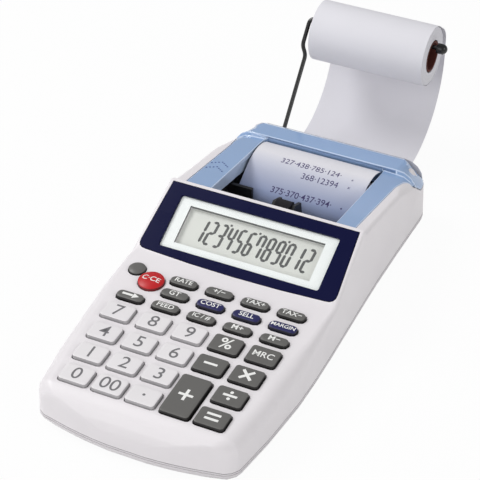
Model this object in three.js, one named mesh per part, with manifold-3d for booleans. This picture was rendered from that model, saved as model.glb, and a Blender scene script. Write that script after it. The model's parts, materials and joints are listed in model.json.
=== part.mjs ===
// Portable printing calculator: wedge-shaped case, display hood, printer under a
// U-shaped cover, and a paper roll on a folding wire arm behind it.
// Millimetres, +X to the user's right, +Y towards the back, +Z up.
// Everything is built in the case frame: Y from the case's front, Z from its underside.
// The last lines move the whole part so that its footprint is centred over the origin.
import * as THREE from 'three';
import { mergeVertices } from 'three/addons/utils/BufferGeometryUtils.js';
import Module from 'manifold-3d';

const wasm = await Module();
wasm.setup();

// Driving sizes. Each can be changed by itself; what depends on it follows further down.
const GAP = 0.3;
const OVERRUN = 1;
const MERGE = 1e-4;
const DEG = Math.PI / 180;

// Paper, the slot it enters by, its feed roller and the roll behind the case
const PAPER = { width: 57.5, thickness: 0.25, guideGap: 0.2 };
const SLOT = { height: 2.6, side: 1.25, drop: 9 };
const FEED = { rise: 0.06, radius: 5, shaft: 1.5, overhang: 0.5 };
const TONGUE = { rise: 0.5, bend: 7, lean: 58, apexBend: 20, reach: 16.3, apexToEnd: 10.6 };
const PIVOT = { setback: 3 };
const ROLL = { reach: 38, rise: 40.4, radius: 14.1, coreOuter: 7.6, coreInner: 6.4, coreFit: 0.3 };
const WEB = { reach: 18, wrap: 50, wrapSteps: 5, bend: 41, bendSteps: 10 };
const ARM = {
  wire: 1, lowerSide: 2.55, upperSide: 5.4, jogShare: 0.7, jogLengthShare: 0.07,
  footOverhang: 0.9, bend: 3, cutShare: 0.4, capRadius: 2.5, capInset: 2,
  capRimShares: [[0.8, 0], [1, 0.3]], capNoseShares: [[1, 0.5], [0.75, 0.12]],
};
const EAR = { side: 2.9, thickness: 2.4, pitch: 5, radius: 3, rootShare: 1.6 };

// Print mechanism
const FRAME = { skirtGap: 0.5, cheekWall: 1.8, batteryGap: 3.2, tail: 4, tie: 2.5 };
const GEAR = {
  module: 0.8, feedTeeth: 28, pinionTeeth: 11, backlash: 0.1, side: 0.6, width: 3,
  tipShare: 0.9, rootShare: 1.2, footShare: 0.32, headShare: 0.12,
};
const MOTOR = { radius: 5.8, length: 34, shaft: 1, rear: 6, floorGap: 0.5 };
const HEAD = { setback: 1.6, rise: 0.6, shaft: 1.2, boss: 2.3, inner: 4, plate: 1.4 };
const TYPE = {
  rise: 3, radius: 4.9, side: 0.4, shaftGap: 0.4, paperGap: 1.2, pin: 1.2,
  teeth: 12, toothDepth: 0.5, footShare: 0.3, headShare: 0.25,
};
const INK = { setback: 2.1, rise: 10.4, radius: 3.5 };
const TAB = { paperGap: 2.4, thickness: 1.6, width: 12.4, rise: 9.4 };

// Printer cover and the bay under it
const COVER = {
  skin: 1.8, paperSide: 1.25, ledge: 2.2, tongueGap: 0.8, skirt: 8, skirtWall: 1.4,
  frontCorner: 3, innerCorner: 2, flareInset: 2.5, flareLength: 12, flareShare: 0.1, flankDrop: 21.7,
  hornReach: 2.6, hornBend: 1.8, hornSlip: 0.5, hornRise: 6.8, hornSweep: 8.5, rearRim: 4.5,
};
const BAY = { side: 1.2, crestWall: 1.6, rearLedge: 1.5 };
const BACK = {
  slope: 9.4, barInset: 0.7, barRise: 1.3, barLift: 2, barLength: 11.2,
  rollLength: 5, rollDrop: 9, tail: 2.5,
};

// Case
const CASE = {
  rail: 6.1, bulge: 3.2, widestAt: 58, frontTaper: 2.6, waistSwell: 0.3, waistSetback: 19.1,
  frontBow: 4.2, frontCorner: 8.5, noseHalf: 9, rearCorner: 11, tuck: 1, tuckRise: 2.4,
  draft: 1.8,
  wall: 2, floor: 1.8, seam: 3.2, seamGap: 0.3,
  noseHeight: 5, noseRoll: 10,
  shoulderRim: 1.4, shoulderLead: 5, shoulderDepth: 5.8,
  edgeRadius: 2.2, hoodEdgeRadius: 1.2, deckEdgeRadius: 6.5, barEdgeRadius: 9,
  deckFadeShares: [0.27, 0.41], barFade: 20, edgeShare: 0.8, edgeSteps: 4,
  bowShares: [0.25, 0.6], sideShares: [0.15, 0.35, 0.7],
};
const DECK = { frontHeight: 18.47, slope: 3.5, frontMargin: 11, rearMargin: 9.55 };
const HOOD = { slope: 27.1, crest: 1.6, step: 1.2, stepDrop: 1.8, wall: 4.2 };

// Keys, the mat under them and the board
const KEY = {
  travel: 1.2, proud: 1.5,
  depth: 10, rowGap: 3.4, columnGap: 1.65, columnFan: 0.0373, sideMargin: 11.875,
  columns: 5, rows: 4, smallRows: 3,
  topInset: 0.5, corner: 1.4, crown: 0.35, leanShare: 0.6,
  flange: 0.8, flangeReach: 0.8, roundFlangeShare: 0.6,
  smallDepth: 5.3, smallRowGap: 3.2, smallColumnGap: 2.25, smallCornerShare: 0.42, blockGap: 2.95,
  roundRed: 11.6, redProud: 2.4, redSide: 1.15, redFront: 4.15,
  roundGrey: 7.7, roundGap: 1, greyAngle: 152,
};
const MAT = { sheet: 0.8, dome: 0.6, domeShare: 0.3, taperShare: 0.75, side: 8.8, rearMargin: 2.6,
  batteryGap: 1.2 };
const BOARD = { thickness: 1.4 };

// Display
const BEZEL = {
  bottomSide: 3.3, topSide: 5.6, bottom: 1.9, height: 34.6, rim: 0.57, bow: 1.3, corner: 4,
  sideBand: 6.6, lowerBand: 3.3, upperBand: 5.3, depth: 1.8, proud: 0.3,
};
const WINDOW = { corner: 1, thickness: 1.2 };
const LCD = { sideMargin: 5.6, lowerMargin: 3.6, upperMargin: 3.4, margin: 2.4, thickness: 2.8 };

// Underside
const FOOT = { height: 1.5, side: 16, depth: 8, inset: 1, front: 20, rearSetback: 21 };
const BATTERY = {
  side: 20, length: 53, headroom: 2.96, wall: 1.2, coverWall: 1.6, lip: 1.4,
  corner: 2, latch: 9, ribShare: 3,
};
const LIP = { gap: 0.5, rearGap: 1.5, wall: 1, top: 5.6 };
const PILLAR = { radius: 2.6, side: 13, rowsShare: [0.1, 0.25, 0.4] };

const COLOUR = {
  case: 0xe6e4e8, tray: 0xdedce1, digitKey: 0xe9e7ea, darkKey: 0x5a5a59, navyKey: 0x1e1b48,
  redKey: 0xc01622, bezel: 0x1e1e4b, window: 0xf3f5f3, lcd: 0xc9cec2, cover: 0x8eaadb,
  mat: 0xd8d8d4, board: 0x1f6b3a, black: 0x141416, steel: 0xb9bcc0, rubber: 0x2b2b2d,
  brass: 0xb99a4b, ink: 0x35234f, paper: 0xf1f0f3, core: 0x4a2a1c,
};

const tan = (degrees) => Math.tan(degrees * DEG);
const cos = (degrees) => Math.cos(degrees * DEG);
const sin = (degrees) => Math.sin(degrees * DEG);

// Across, from the paper's width out to the sides of the case
const paperHalf = PAPER.width / 2;
SLOT.half = paperHalf + SLOT.side;
FEED.length = PAPER.width + FEED.overhang;
COVER.opening = paperHalf + COVER.paperSide;
FRAME.cheekInner = COVER.opening + COVER.skirtWall + FRAME.skirtGap;
FRAME.cheekOuter = FRAME.cheekInner + FRAME.cheekWall;
TAB.inner = FRAME.cheekInner - TAB.width;
TYPE.half = HEAD.inner - TYPE.side;
GEAR.x = FRAME.cheekOuter + GEAR.side;
BAY.half = GEAR.x + GEAR.width + BAY.side;
COVER.armOuter = BAY.half + COVER.ledge;
CASE.rearHalf = COVER.armOuter + CASE.rail;
CASE.waistHalf = CASE.rearHalf + CASE.waistSwell;
CASE.frontHalf = CASE.rearHalf - CASE.frontTaper;
CASE.widestHalf = CASE.rearHalf + CASE.bulge;
BEZEL.bottomHalf = CASE.widestHalf - BEZEL.bottomSide;
BEZEL.topHalf = CASE.widestHalf - BEZEL.topSide;
WINDOW.half = BEZEL.topHalf - BEZEL.sideBand;
LCD.half = WINDOW.half - LCD.sideMargin;
MAT.half = CASE.widestHalf - MAT.side;
KEY.columnPitch = (CASE.widestHalf - KEY.sideMargin) * 2 / KEY.columns;
KEY.width = KEY.columnPitch - KEY.columnGap;
KEY.smallWidth = KEY.columnPitch - KEY.smallColumnGap;
FOOT.half = CASE.widestHalf - FOOT.side;
BATTERY.half = CASE.widestHalf - BATTERY.side;
PILLAR.x = CASE.widestHalf - PILLAR.side;
ARM.lowerX = paperHalf + ARM.lowerSide;
ARM.upperX = paperHalf + ARM.upperSide;
EAR.innerX = ARM.lowerX + EAR.side;
ARM.footEnd = EAR.innerX + EAR.pitch + EAR.thickness + ARM.footOverhang;

// Along, from the front edge through the keypad and the hood
KEY.rowPitch = KEY.depth + KEY.rowGap;
KEY.smallRowPitch = KEY.smallDepth + KEY.smallRowGap;
KEY.firstRow = DECK.frontMargin + KEY.depth / 2;
KEY.lastRow = KEY.firstRow + (KEY.rows - 1) * KEY.rowPitch;
KEY.firstSmallRow = KEY.lastRow + (KEY.depth + KEY.smallDepth) / 2 + KEY.blockGap;
KEY.lastSmallRow = KEY.firstSmallRow + (KEY.smallRows - 1) * KEY.smallRowPitch;
const columnX = (column, y) => {
  const fan = KEY.columnFan * (Math.min(y, KEY.lastRow) - KEY.firstRow);
  return (column - (KEY.columns - 1) / 2) * (KEY.columnPitch + fan);
};
KEY.redX = columnX(1, KEY.lastSmallRow) - (KEY.smallWidth + KEY.roundRed) / 2 - KEY.redSide;
KEY.redY = KEY.firstSmallRow + (KEY.smallDepth + KEY.roundRed) / 2 + KEY.redFront;
KEY.roundPitch = (KEY.roundRed + KEY.roundGrey) / 2 + KEY.roundGap;
KEY.greyX = KEY.redX + KEY.roundPitch * cos(KEY.greyAngle);
KEY.greyY = KEY.redY + KEY.roundPitch * sin(KEY.greyAngle);
DECK.end = KEY.lastSmallRow + KEY.smallDepth / 2 + DECK.rearMargin;
MAT.start = DECK.frontMargin;
MAT.end = KEY.lastSmallRow + MAT.rearMargin;
BEZEL.top = BEZEL.bottom + BEZEL.height;
WINDOW.bottom = BEZEL.bottom + BEZEL.lowerBand;
WINDOW.top = BEZEL.top - BEZEL.upperBand;
LCD.bottom = WINDOW.bottom + LCD.lowerMargin;
LCD.top = WINDOW.top - LCD.upperMargin;
HOOD.length = (BEZEL.top + BEZEL.rim) * cos(HOOD.slope);
const hoodStart = { y: DECK.end, z: DECK.frontHeight + DECK.end * tan(DECK.slope) };
const crest = { y: hoodStart.y + HOOD.length, z: hoodStart.z + HOOD.length * tan(HOOD.slope) };
const slopeStart = { y: crest.y + HOOD.crest + HOOD.step, z: crest.z - HOOD.stepDrop };
const bayFront = crest.y + HOOD.crest + GAP;

// On back through the battery bay, the print mechanism and the rear bar to the roll
BATTERY.front = MAT.end + MAT.batteryGap + BATTERY.wall;
BATTERY.rear = BATTERY.front + BATTERY.length;
FRAME.front = BATTERY.rear + FRAME.batteryGap;
HEAD.shaftY = FRAME.front + HEAD.setback;
TYPE.y = HEAD.shaftY + HEAD.boss + TYPE.shaftGap + TYPE.radius;
INK.y = HEAD.shaftY + INK.setback;
FEED.y = TYPE.y + TYPE.radius + TYPE.paperGap + FEED.radius;
TAB.front = FEED.y - FEED.radius - TAB.paperGap - TAB.thickness;
TONGUE.apexY = FEED.y + TONGUE.reach;
COVER.openingEnd = TONGUE.apexY + TONGUE.apexToEnd + COVER.tongueGap;
COVER.flareEnd = COVER.openingEnd - COVER.flareInset;
COVER.flareStart = COVER.flareEnd - COVER.flareLength;
CASE.shoulderFront = COVER.flareStart - CASE.shoulderLead;
FRAME.rear = COVER.openingEnd + FRAME.tail;
BACK.barStart = COVER.openingEnd - BACK.barInset;
BACK.barEnd = BACK.barStart + BACK.barLength;
BACK.rollEnd = BACK.barEnd + BACK.rollLength;
CASE.length = BACK.rollEnd + BACK.tail;
COVER.back = CASE.length - COVER.rearRim;
BAY.rear = COVER.back - BAY.rearLedge;
CASE.waistAt = bayFront + CASE.waistSetback;
FOOT.rear = CASE.length - FOOT.rearSetback;
PIVOT.y = CASE.length + PIVOT.setback;
ROLL.y = PIVOT.y + ROLL.reach;

// Heights: the feed roller lies midway between the floor and the cover's underside
const barFoot = slopeStart.z - (BACK.barStart - slopeStart.y) * tan(BACK.slope);
const barTop = barFoot + BACK.barLift;
const rollTop = barTop - BACK.barRise / 2;
const coverUnder = slopeStart.z - (FEED.y - slopeStart.y) * tan(BACK.slope) - COVER.skin;
const gearDistance = GEAR.module * (GEAR.feedTeeth + GEAR.pinionTeeth) / 2 + GEAR.backlash;
const lcdLow = hoodStart.z + (LCD.bottom - LCD.margin) * sin(HOOD.slope)
  - (HOOD.wall + GAP + LCD.thickness) * cos(HOOD.slope);
FEED.z = (CASE.floor + coverUnder) / 2 + FEED.rise;
MOTOR.drop = FEED.z - CASE.floor - MOTOR.floorGap - MOTOR.radius;
GEAR.motorAngle = 180 + Math.asin(MOTOR.drop / gearDistance) / DEG;
HEAD.shaftZ = FEED.z + HEAD.rise;
TYPE.z = FEED.z + TYPE.rise;
INK.z = FEED.z + INK.rise;
TAB.top = FEED.z + TAB.rise;
PIVOT.z = FEED.z;
SLOT.z = PIVOT.z - SLOT.drop;
ROLL.z = PIVOT.z + ROLL.rise;
FRAME.bottom = CASE.floor + GAP;
BACK.rollHeight = barTop - BACK.rollDrop;
COVER.flankBottom = crest.z - COVER.flankDrop;
CASE.shoulderWall = COVER.skin + GAP + CASE.shoulderRim;
CASE.shoulderBottom = COVER.flankBottom - CASE.shoulderDepth;
BATTERY.roof = lcdLow - BATTERY.headroom - BATTERY.wall;
LIP.inset = CASE.wall + LIP.gap;
LIP.rearInset = CASE.wall + LIP.rearGap;

const part = new THREE.Group();

// Turns a closed three.js geometry into a manifold solid
function toSolid(geometry) {
  const bare = geometry.index ? geometry.toNonIndexed() : geometry.clone();
  bare.deleteAttribute('normal');
  if (bare.attributes.uv) bare.deleteAttribute('uv');
  const merged = mergeVertices(bare, MERGE);
  return new wasm.Manifold(new wasm.Mesh({
    numProp: 3,
    vertProperties: new Float32Array(merged.attributes.position.array),
    triVerts: new Uint32Array(merged.index.array),
  }));
}

function toGeometry(solid) {
  const mesh = solid.getMesh();
  const geometry = new THREE.BufferGeometry();
  geometry.setAttribute('position', new THREE.BufferAttribute(new Float32Array(mesh.vertProperties), 3));
  geometry.setIndex(new THREE.BufferAttribute(new Uint32Array(mesh.triVerts), 1));
  geometry.computeVertexNormals();
  return geometry;
}

function addPiece(name, geometry, colour, roughness = 0.5, metalness = 0, parent = part) {
  const material = new THREE.MeshStandardMaterial({ color: colour, roughness, metalness });
  if (!geometry.attributes.normal) geometry.computeVertexNormals();
  const mesh = new THREE.Mesh(geometry, material);
  mesh.name = name;
  parent.add(mesh);
  return mesh;
}

// Closed solid through rings of equal point count; the end rings are capped from their middles
function loft(rings) {
  const count = rings[0].length;
  const points = rings.flat();
  const faces = [];
  for (let r = 0; r + 1 < rings.length; r += 1) {
    for (let i = 0; i < count; i += 1) {
      const a = r * count + i;
      const b = r * count + ((i + 1) % count);
      faces.push(a, b, a + count, b, b + count, a + count);
    }
  }
  const cap = (ring, reversed) => {
    const start = ring * count;
    for (let i = 1; i + 1 < count; i += 1) {
      if (reversed) faces.push(start, start + i + 1, start + i);
      else faces.push(start, start + i, start + i + 1);
    }
  };
  cap(0, true);
  cap(rings.length - 1, false);
  const geometry = new THREE.BufferGeometry();
  geometry.setAttribute('position', new THREE.BufferAttribute(
    new Float32Array(points.flatMap((p) => [p.x, p.y, p.z])), 3));
  geometry.setIndex(faces);
  return geometry;
}

// Vertical prism of a plan outline
function prism(outline, bottom, top, segments = 6) {
  const shape = outline instanceof THREE.Shape ? outline : new THREE.Shape(outline);
  const geometry = new THREE.ExtrudeGeometry(shape, {
    depth: top - bottom, bevelEnabled: false, curveSegments: segments,
  });
  return geometry.translate(0, 0, bottom);
}

// Prism of a side outline drawn in (Y, Z), running along X
function sidePrism(shape, fromX, toX, segments = 8) {
  const geometry = new THREE.ExtrudeGeometry(shape, {
    depth: toX - fromX, bevelEnabled: false, curveSegments: segments,
  });
  geometry.applyMatrix4(new THREE.Matrix4().set(
    0, 0, 1, fromX,
    1, 0, 0, 0,
    0, 1, 0, 0,
    0, 0, 0, 1));
  return geometry;
}

function box(x0, x1, y0, y1, z0, z1) {
  return new THREE.BoxGeometry(x1 - x0, y1 - y0, z1 - z0)
    .translate((x0 + x1) / 2, (y0 + y1) / 2, (z0 + z1) / 2);
}

// Cylinder whose axis runs along X
function rod(radius, fromX, toX, y, z, segments = 16) {
  return new THREE.CylinderGeometry(radius, radius, toX - fromX, segments)
    .rotateZ(Math.PI / 2)
    .translate((fromX + toX) / 2, y, z);
}

// Tube whose axis runs along X
function sleeve(outer, inner, fromX, toX, y, z, segments = 32) {
  const profile = [
    new THREE.Vector2(inner, fromX), new THREE.Vector2(outer, fromX),
    new THREE.Vector2(outer, toX), new THREE.Vector2(inner, toX),
    new THREE.Vector2(inner, fromX),
  ];
  return new THREE.LatheGeometry(profile, segments)
    .rotateZ(-Math.PI / 2)
    .translate(0, y, z);
}

function roundedRect(halfWidth, halfDepth, radius) {
  const shape = new THREE.Shape();
  const r = Math.min(radius, halfWidth, halfDepth);
  shape.moveTo(-halfWidth + r, -halfDepth);
  shape.lineTo(halfWidth - r, -halfDepth);
  shape.absarc(halfWidth - r, -halfDepth + r, r, -Math.PI / 2, 0);
  shape.lineTo(halfWidth, halfDepth - r);
  shape.absarc(halfWidth - r, halfDepth - r, r, 0, Math.PI / 2);
  shape.lineTo(-halfWidth + r, halfDepth);
  shape.absarc(-halfWidth + r, halfDepth - r, r, Math.PI / 2, Math.PI);
  shape.lineTo(-halfWidth, -halfDepth + r);
  shape.absarc(-halfWidth + r, -halfDepth + r, r, Math.PI, Math.PI * 1.5);
  return shape;
}

const shifted = (shape, x, y) => new THREE.Shape(shape.getPoints(4).map((p) =>
  new THREE.Vector2(p.x + x, p.y + y)));

// The case's envelope: half width in plan and height of the top, both along Y
const sideCurve = new THREE.SplineCurve([
  new THREE.Vector2(0, CASE.frontHalf),
  new THREE.Vector2(CASE.widestAt, CASE.widestHalf),
  new THREE.Vector2(CASE.waistAt, CASE.waistHalf),
  new THREE.Vector2(CASE.length, CASE.rearHalf),
]);
const sideSamples = sideCurve.getPoints(120);

function sideHalf(y) {
  const next = sideSamples.findIndex((p) => p.x >= y);
  if (next <= 0) return next < 0 ? CASE.rearHalf : CASE.frontHalf;
  const a = sideSamples[next - 1];
  const b = sideSamples[next];
  return a.y + (b.y - a.y) * (y - a.x) / (b.x - a.x);
}

function planHalf(y) {
  const cornerEnd = CASE.frontBow + CASE.frontCorner;
  const bowHalf = sideHalf(cornerEnd) - CASE.frontCorner;
  if (y < CASE.frontBow) {
    const share = Math.max(y, 0) / CASE.frontBow;
    return Math.sqrt(CASE.noseHalf ** 2 + (bowHalf ** 2 - CASE.noseHalf ** 2) * share);
  }
  if (y < cornerEnd) {
    const share = Math.min((cornerEnd - y) / CASE.frontCorner, 1);
    return bowHalf + CASE.frontCorner * Math.sqrt(1 - share ** 2);
  }
  const rearStart = CASE.length - CASE.rearCorner;
  if (y > rearStart) {
    const share = Math.min((y - rearStart) / CASE.rearCorner, 1);
    return sideHalf(y) - CASE.rearCorner * (1 - Math.sqrt(1 - share ** 2));
  }
  return sideHalf(y);
}

const deckHeight = (y) => DECK.frontHeight + y * tan(DECK.slope);

function topHeight(y) {
  if (y < CASE.noseRoll) {
    const share = 1 - Math.max(y, 0) / CASE.noseRoll;
    return CASE.noseHeight + (deckHeight(CASE.noseRoll) - CASE.noseHeight) * Math.sqrt(1 - share ** 2);
  }
  if (y <= hoodStart.y) return deckHeight(y);
  if (y <= crest.y) return hoodStart.z + (y - hoodStart.y) * tan(HOOD.slope);
  if (y <= crest.y + HOOD.crest) return crest.z;
  if (y <= slopeStart.y) {
    return crest.z - HOOD.stepDrop * (y - crest.y - HOOD.crest) / HOOD.step;
  }
  if (y <= BACK.barStart) return slopeStart.z - (y - slopeStart.y) * tan(BACK.slope);
  if (y <= BACK.barStart + BACK.barRise) {
    return barFoot + BACK.barLift * (y - BACK.barStart) / BACK.barRise;
  }
  if (y <= BACK.barEnd) {
    const run = BACK.barEnd - BACK.barStart - BACK.barRise;
    return barTop - (barTop - rollTop) * (y - BACK.barStart - BACK.barRise) / run;
  }
  if (y <= BACK.rollEnd) {
    const share = (y - BACK.barEnd) / (BACK.rollEnd - BACK.barEnd);
    return BACK.rollHeight + (rollTop - BACK.rollHeight) * Math.sqrt(1 - share ** 2);
  }
  return BACK.rollHeight * (CASE.length - y) / (CASE.length - BACK.rollEnd);
}

function stations() {
  const list = [0, hoodStart.y, crest.y, crest.y + HOOD.crest, slopeStart.y, BACK.barStart,
    BACK.barStart + BACK.barRise, BACK.barEnd, BACK.rollEnd, CASE.length];
  for (let i = 1; i <= 5; i += 1) list.push(CASE.noseRoll * (1 - cos(90 * i / 5)));
  for (const share of CASE.bowShares) list.push(CASE.frontBow * share);
  for (let i = 1; i <= 3; i += 1) {
    list.push(CASE.frontBow + CASE.frontCorner * (1 - cos(90 * i / 4)));
    list.push(CASE.length - CASE.rearCorner + CASE.rearCorner * sin(90 * i / 4));
    list.push(BACK.barEnd + (BACK.rollEnd - BACK.barEnd) * sin(90 * i / 4));
  }
  list.push(CASE.frontBow + CASE.frontCorner);
  list.push(CASE.length - CASE.rearCorner);
  for (const share of CASE.sideShares) list.push(CASE.length * share);
  list.push(CASE.widestAt, hoodStart.y - HOOD.wall);
  list.push(BACK.barStart - CASE.barFade, BACK.barStart - CASE.barFade / 2);
  const sorted = list.sort((a, b) => a - b);
  return sorted.filter((y, i) => i === 0 || y - sorted[i - 1] > GAP);
}

// Radius of the shoulders: wide on the key deck, narrow on the hood, wide again on the rear bar
function edgeRadius(y) {
  if (y > hoodStart.y && y < slopeStart.y) return CASE.hoodEdgeRadius;
  if (y <= hoodStart.y) {
    const [start, end] = CASE.deckFadeShares.map((share) => CASE.length * share);
    const fade = THREE.MathUtils.clamp((y - start) / (end - start), 0, 1);
    return THREE.MathUtils.lerp(CASE.deckEdgeRadius, CASE.edgeRadius, fade);
  }
  const rise = THREE.MathUtils.clamp((y - BACK.barStart + CASE.barFade) / CASE.barFade, 0, 1);
  return THREE.MathUtils.lerp(CASE.edgeRadius, CASE.barEdgeRadius, rise);
}

// One cross-section of the envelope: tucked-in foot, drafted sides, rounded shoulders, flat top
function section(y, half, top, radius, bottom, foot = half) {
  const steps = CASE.edgeSteps;
  const rise = Math.max(top - bottom, GAP);
  const r = Math.min(radius, rise * CASE.edgeShare);
  const right = [new THREE.Vector3(foot, y, bottom)];
  if (foot < half) right.push(new THREE.Vector3(half, y, Math.max(CASE.tuckRise, bottom + GAP)));
  const shoulder = half - (rise - r) * tan(CASE.draft);
  for (let i = 0; i <= steps; i += 1) {
    const angle = 90 * i / steps;
    right.push(new THREE.Vector3(shoulder - r + r * cos(angle), y, bottom + rise - r + r * sin(angle)));
  }
  const left = right.map((p) => new THREE.Vector3(-p.x, p.y, p.z)).reverse();
  return [...right, ...left];
}

function envelope() {
  const rings = stations().map((y) => {
    const bottom = Math.max(CASE.tuckRise * (1 - y / CASE.tuck), 0);
    const foot = Math.min(planHalf(y), planHalf(Math.max(y - CASE.tuck, 0))) - CASE.tuck;
    const top = Math.max(topHeight(y), CASE.tuckRise + GAP * 2);
    return section(y, planHalf(y), top, edgeRadius(y), bottom, foot);
  });
  return toSolid(loft(rings.map((ring) => ring.reverse())));
}

// The same form moved inwards by a wall, for cavities and thin skins
function innerEnvelope(wall, topWall, bottom) {
  const middle = CASE.length / 2;
  const rings = stations()
    .map((y) => {
      const at = y + wall * (1 - 2 * y / CASE.length);
      const outerY = y < middle ? Math.max(at - wall / 2, 0) : Math.min(at + wall, CASE.length);
      const top = Math.max(Math.min(topHeight(outerY), topHeight(at)) - topWall(at), bottom + GAP);
      const radius = Math.max(CASE.edgeRadius, edgeRadius(at) - wall);
      return section(at, planHalf(outerY) - wall, top, radius, bottom);
    });
  return toSolid(loft(rings.map((ring) => ring.reverse())));
}

function planOutline(inset, rearInset = inset) {
  const right = stations().map((y) => {
    const at = inset + y * (CASE.length - inset - rearInset) / CASE.length;
    return new THREE.Vector2(planHalf(y) - inset, at);
  });
  const left = right.map((p) => new THREE.Vector2(-p.x, p.y)).reverse();
  return new THREE.Shape([...right, ...left]);
}

// Frames on the key deck and on the hood
function deckMatrix(x, y) {
  return new THREE.Matrix4().makeRotationX(DECK.slope * DEG).setPosition(x, y, deckHeight(y));
}

function hoodMatrix() {
  return new THREE.Matrix4().makeRotationX(HOOD.slope * DEG).setPosition(0, hoodStart.y, hoodStart.z);
}

function hoodPrism(shape, bottom, top, segments = 4) {
  return prism(shape, bottom, top, segments).applyMatrix4(hoodMatrix());
}

// Key layout: name, column, row, kind
const bigRows = [
  ['key_0', 'key_00', 'key_point', null, 'key_equals'],
  ['key_1', 'key_2', 'key_3', 'key_plus', 'key_divide'],
  ['key_4', 'key_5', 'key_6', 'key_minus', 'key_multiply'],
  ['key_7', 'key_8', 'key_9', 'key_percent', 'key_memory_total'],
];
const smallRows = [
  ['key_backspace', 'key_paper_feed', 'key_item_count', 'key_memory_plus', 'key_memory_minus'],
  [null, 'key_grand_total', 'key_cost', 'key_sell', 'key_margin'],
  [null, 'key_rate', 'key_sign', 'key_tax_plus', 'key_tax_minus'],
];
const navyKeys = ['key_cost', 'key_sell', 'key_margin'];

function keyList() {
  const keys = [];
  bigRows.forEach((row, r) => row.forEach((name, column) => {
    if (!name) return;
    const tall = name === 'key_plus';
    const y = KEY.firstRow + r * KEY.rowPitch - (tall ? KEY.rowPitch / 2 : 0);
    keys.push({
      name, y, x: columnX(column, y),
      halfWidth: KEY.width / 2, halfDepth: (KEY.depth + (tall ? KEY.rowPitch : 0)) / 2,
      corner: KEY.corner, cornerSteps: 2, proud: KEY.proud,
      colour: column < 3 ? COLOUR.digitKey : COLOUR.darkKey,
    });
  }));
  smallRows.forEach((row, r) => row.forEach((name, column) => {
    if (!name) return;
    const y = KEY.firstSmallRow + r * KEY.smallRowPitch;
    keys.push({
      name, y, x: columnX(column, y),
      halfWidth: KEY.smallWidth / 2, halfDepth: KEY.smallDepth / 2,
      corner: KEY.smallDepth * KEY.smallCornerShare, cornerSteps: 2, proud: KEY.proud,
      colour: navyKeys.includes(name) ? COLOUR.navyKey : COLOUR.darkKey,
    });
  }));
  const round = (name, x, y, size, proud, colour) => keys.push({
    name, x, y, proud, colour, round: true,
    halfWidth: size / 2, halfDepth: size / 2, corner: size / 2, cornerSteps: 5,
  });
  round('key_clear', KEY.redX, KEY.redY, KEY.roundRed, KEY.redProud, COLOUR.redKey);
  round('key_power', KEY.greyX, KEY.greyY, KEY.roundGrey, KEY.proud, COLOUR.darkKey);
  return keys;
}
const keys = keyList();

// A ring of the key's outline, the same count of points at every size
function keyRing(key, growX, growY, z, crownDrop = 0) {
  const halfWidth = key.halfWidth + growX;
  const halfDepth = key.halfDepth + growY;
  const grow = Math.min(growX, growY);
  const corner = Math.max(Math.min(key.corner + grow, halfWidth, halfDepth), GAP);
  const steps = key.cornerSteps;
  const points = [];
  const centres = [[1, -1, -90], [1, 1, 0], [-1, 1, 90], [-1, -1, 180]];
  for (const [sx, sy, start] of centres) {
    const cx = sx * (halfWidth - corner);
    const cy = sy * (halfDepth - corner);
    const last = key.round ? steps - 1 : steps;
    for (let i = 0; i <= last; i += 1) {
      const angle = start + 90 * i / steps;
      points.push(new THREE.Vector3(cx + corner * cos(angle), cy + corner * sin(angle), z - crownDrop));
    }
  }
  return points;
}

function keyGeometry(key) {
  const under = -CASE.wall - GAP;
  const bottom = under - KEY.flange;
  const reachY = key.round ? KEY.flangeReach * KEY.roundFlangeShare : KEY.flangeReach;
  const lean = KEY.topInset * KEY.leanShare;
  const topInset = KEY.topInset + KEY.crown;
  const reachX = key.round ? reachY : 0;
  const rings = [
    keyRing(key, reachX, reachY, bottom),
    keyRing(key, reachX, reachY, under),
    keyRing(key, 0, 0, under),
    keyRing(key, -lean, -lean, key.proud - KEY.crown),
    keyRing(key, -topInset, -topInset, key.proud),
  ];
  if (key.round) {
    rings.push(keyRing(key, -key.halfWidth / 2, -key.halfWidth / 2, key.proud + KEY.crown / 2));
  }
  return loft(rings);
}

function keyOpening(key, grow, bottom, top) {
  const ring = (z) => keyRing(key, grow, grow, z);
  return loft([ring(bottom), ring(top)]).applyMatrix4(deckMatrix(key.x, key.y));
}

// Bezel outline in the hood's own plane
function bezelShape(grow) {
  const bottomHalf = BEZEL.bottomHalf + grow;
  const topHalf = BEZEL.topHalf + grow;
  const bottom = BEZEL.bottom - grow;
  const top = BEZEL.top + grow;
  const r = BEZEL.corner + grow;
  const cornerHalf = bottomHalf - r * (bottomHalf - topHalf) / (top - bottom);
  const shape = new THREE.Shape();
  shape.moveTo(-bottomHalf + r, bottom);
  shape.quadraticCurveTo(0, bottom - 2 * BEZEL.bow, bottomHalf - r, bottom);
  shape.quadraticCurveTo(bottomHalf, bottom, cornerHalf, bottom + r);
  shape.lineTo(topHalf, top);
  shape.lineTo(-topHalf, top);
  shape.lineTo(-cornerHalf, bottom + r);
  shape.quadraticCurveTo(-bottomHalf, bottom, -bottomHalf + r, bottom);
  return shape;
}

function panelShape(half, bottom, top, corner, grow = 0) {
  const shape = roundedRect(half + grow, (top - bottom) / 2 + grow, corner);
  return shifted(shape, 0, (top + bottom) / 2);
}

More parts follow.
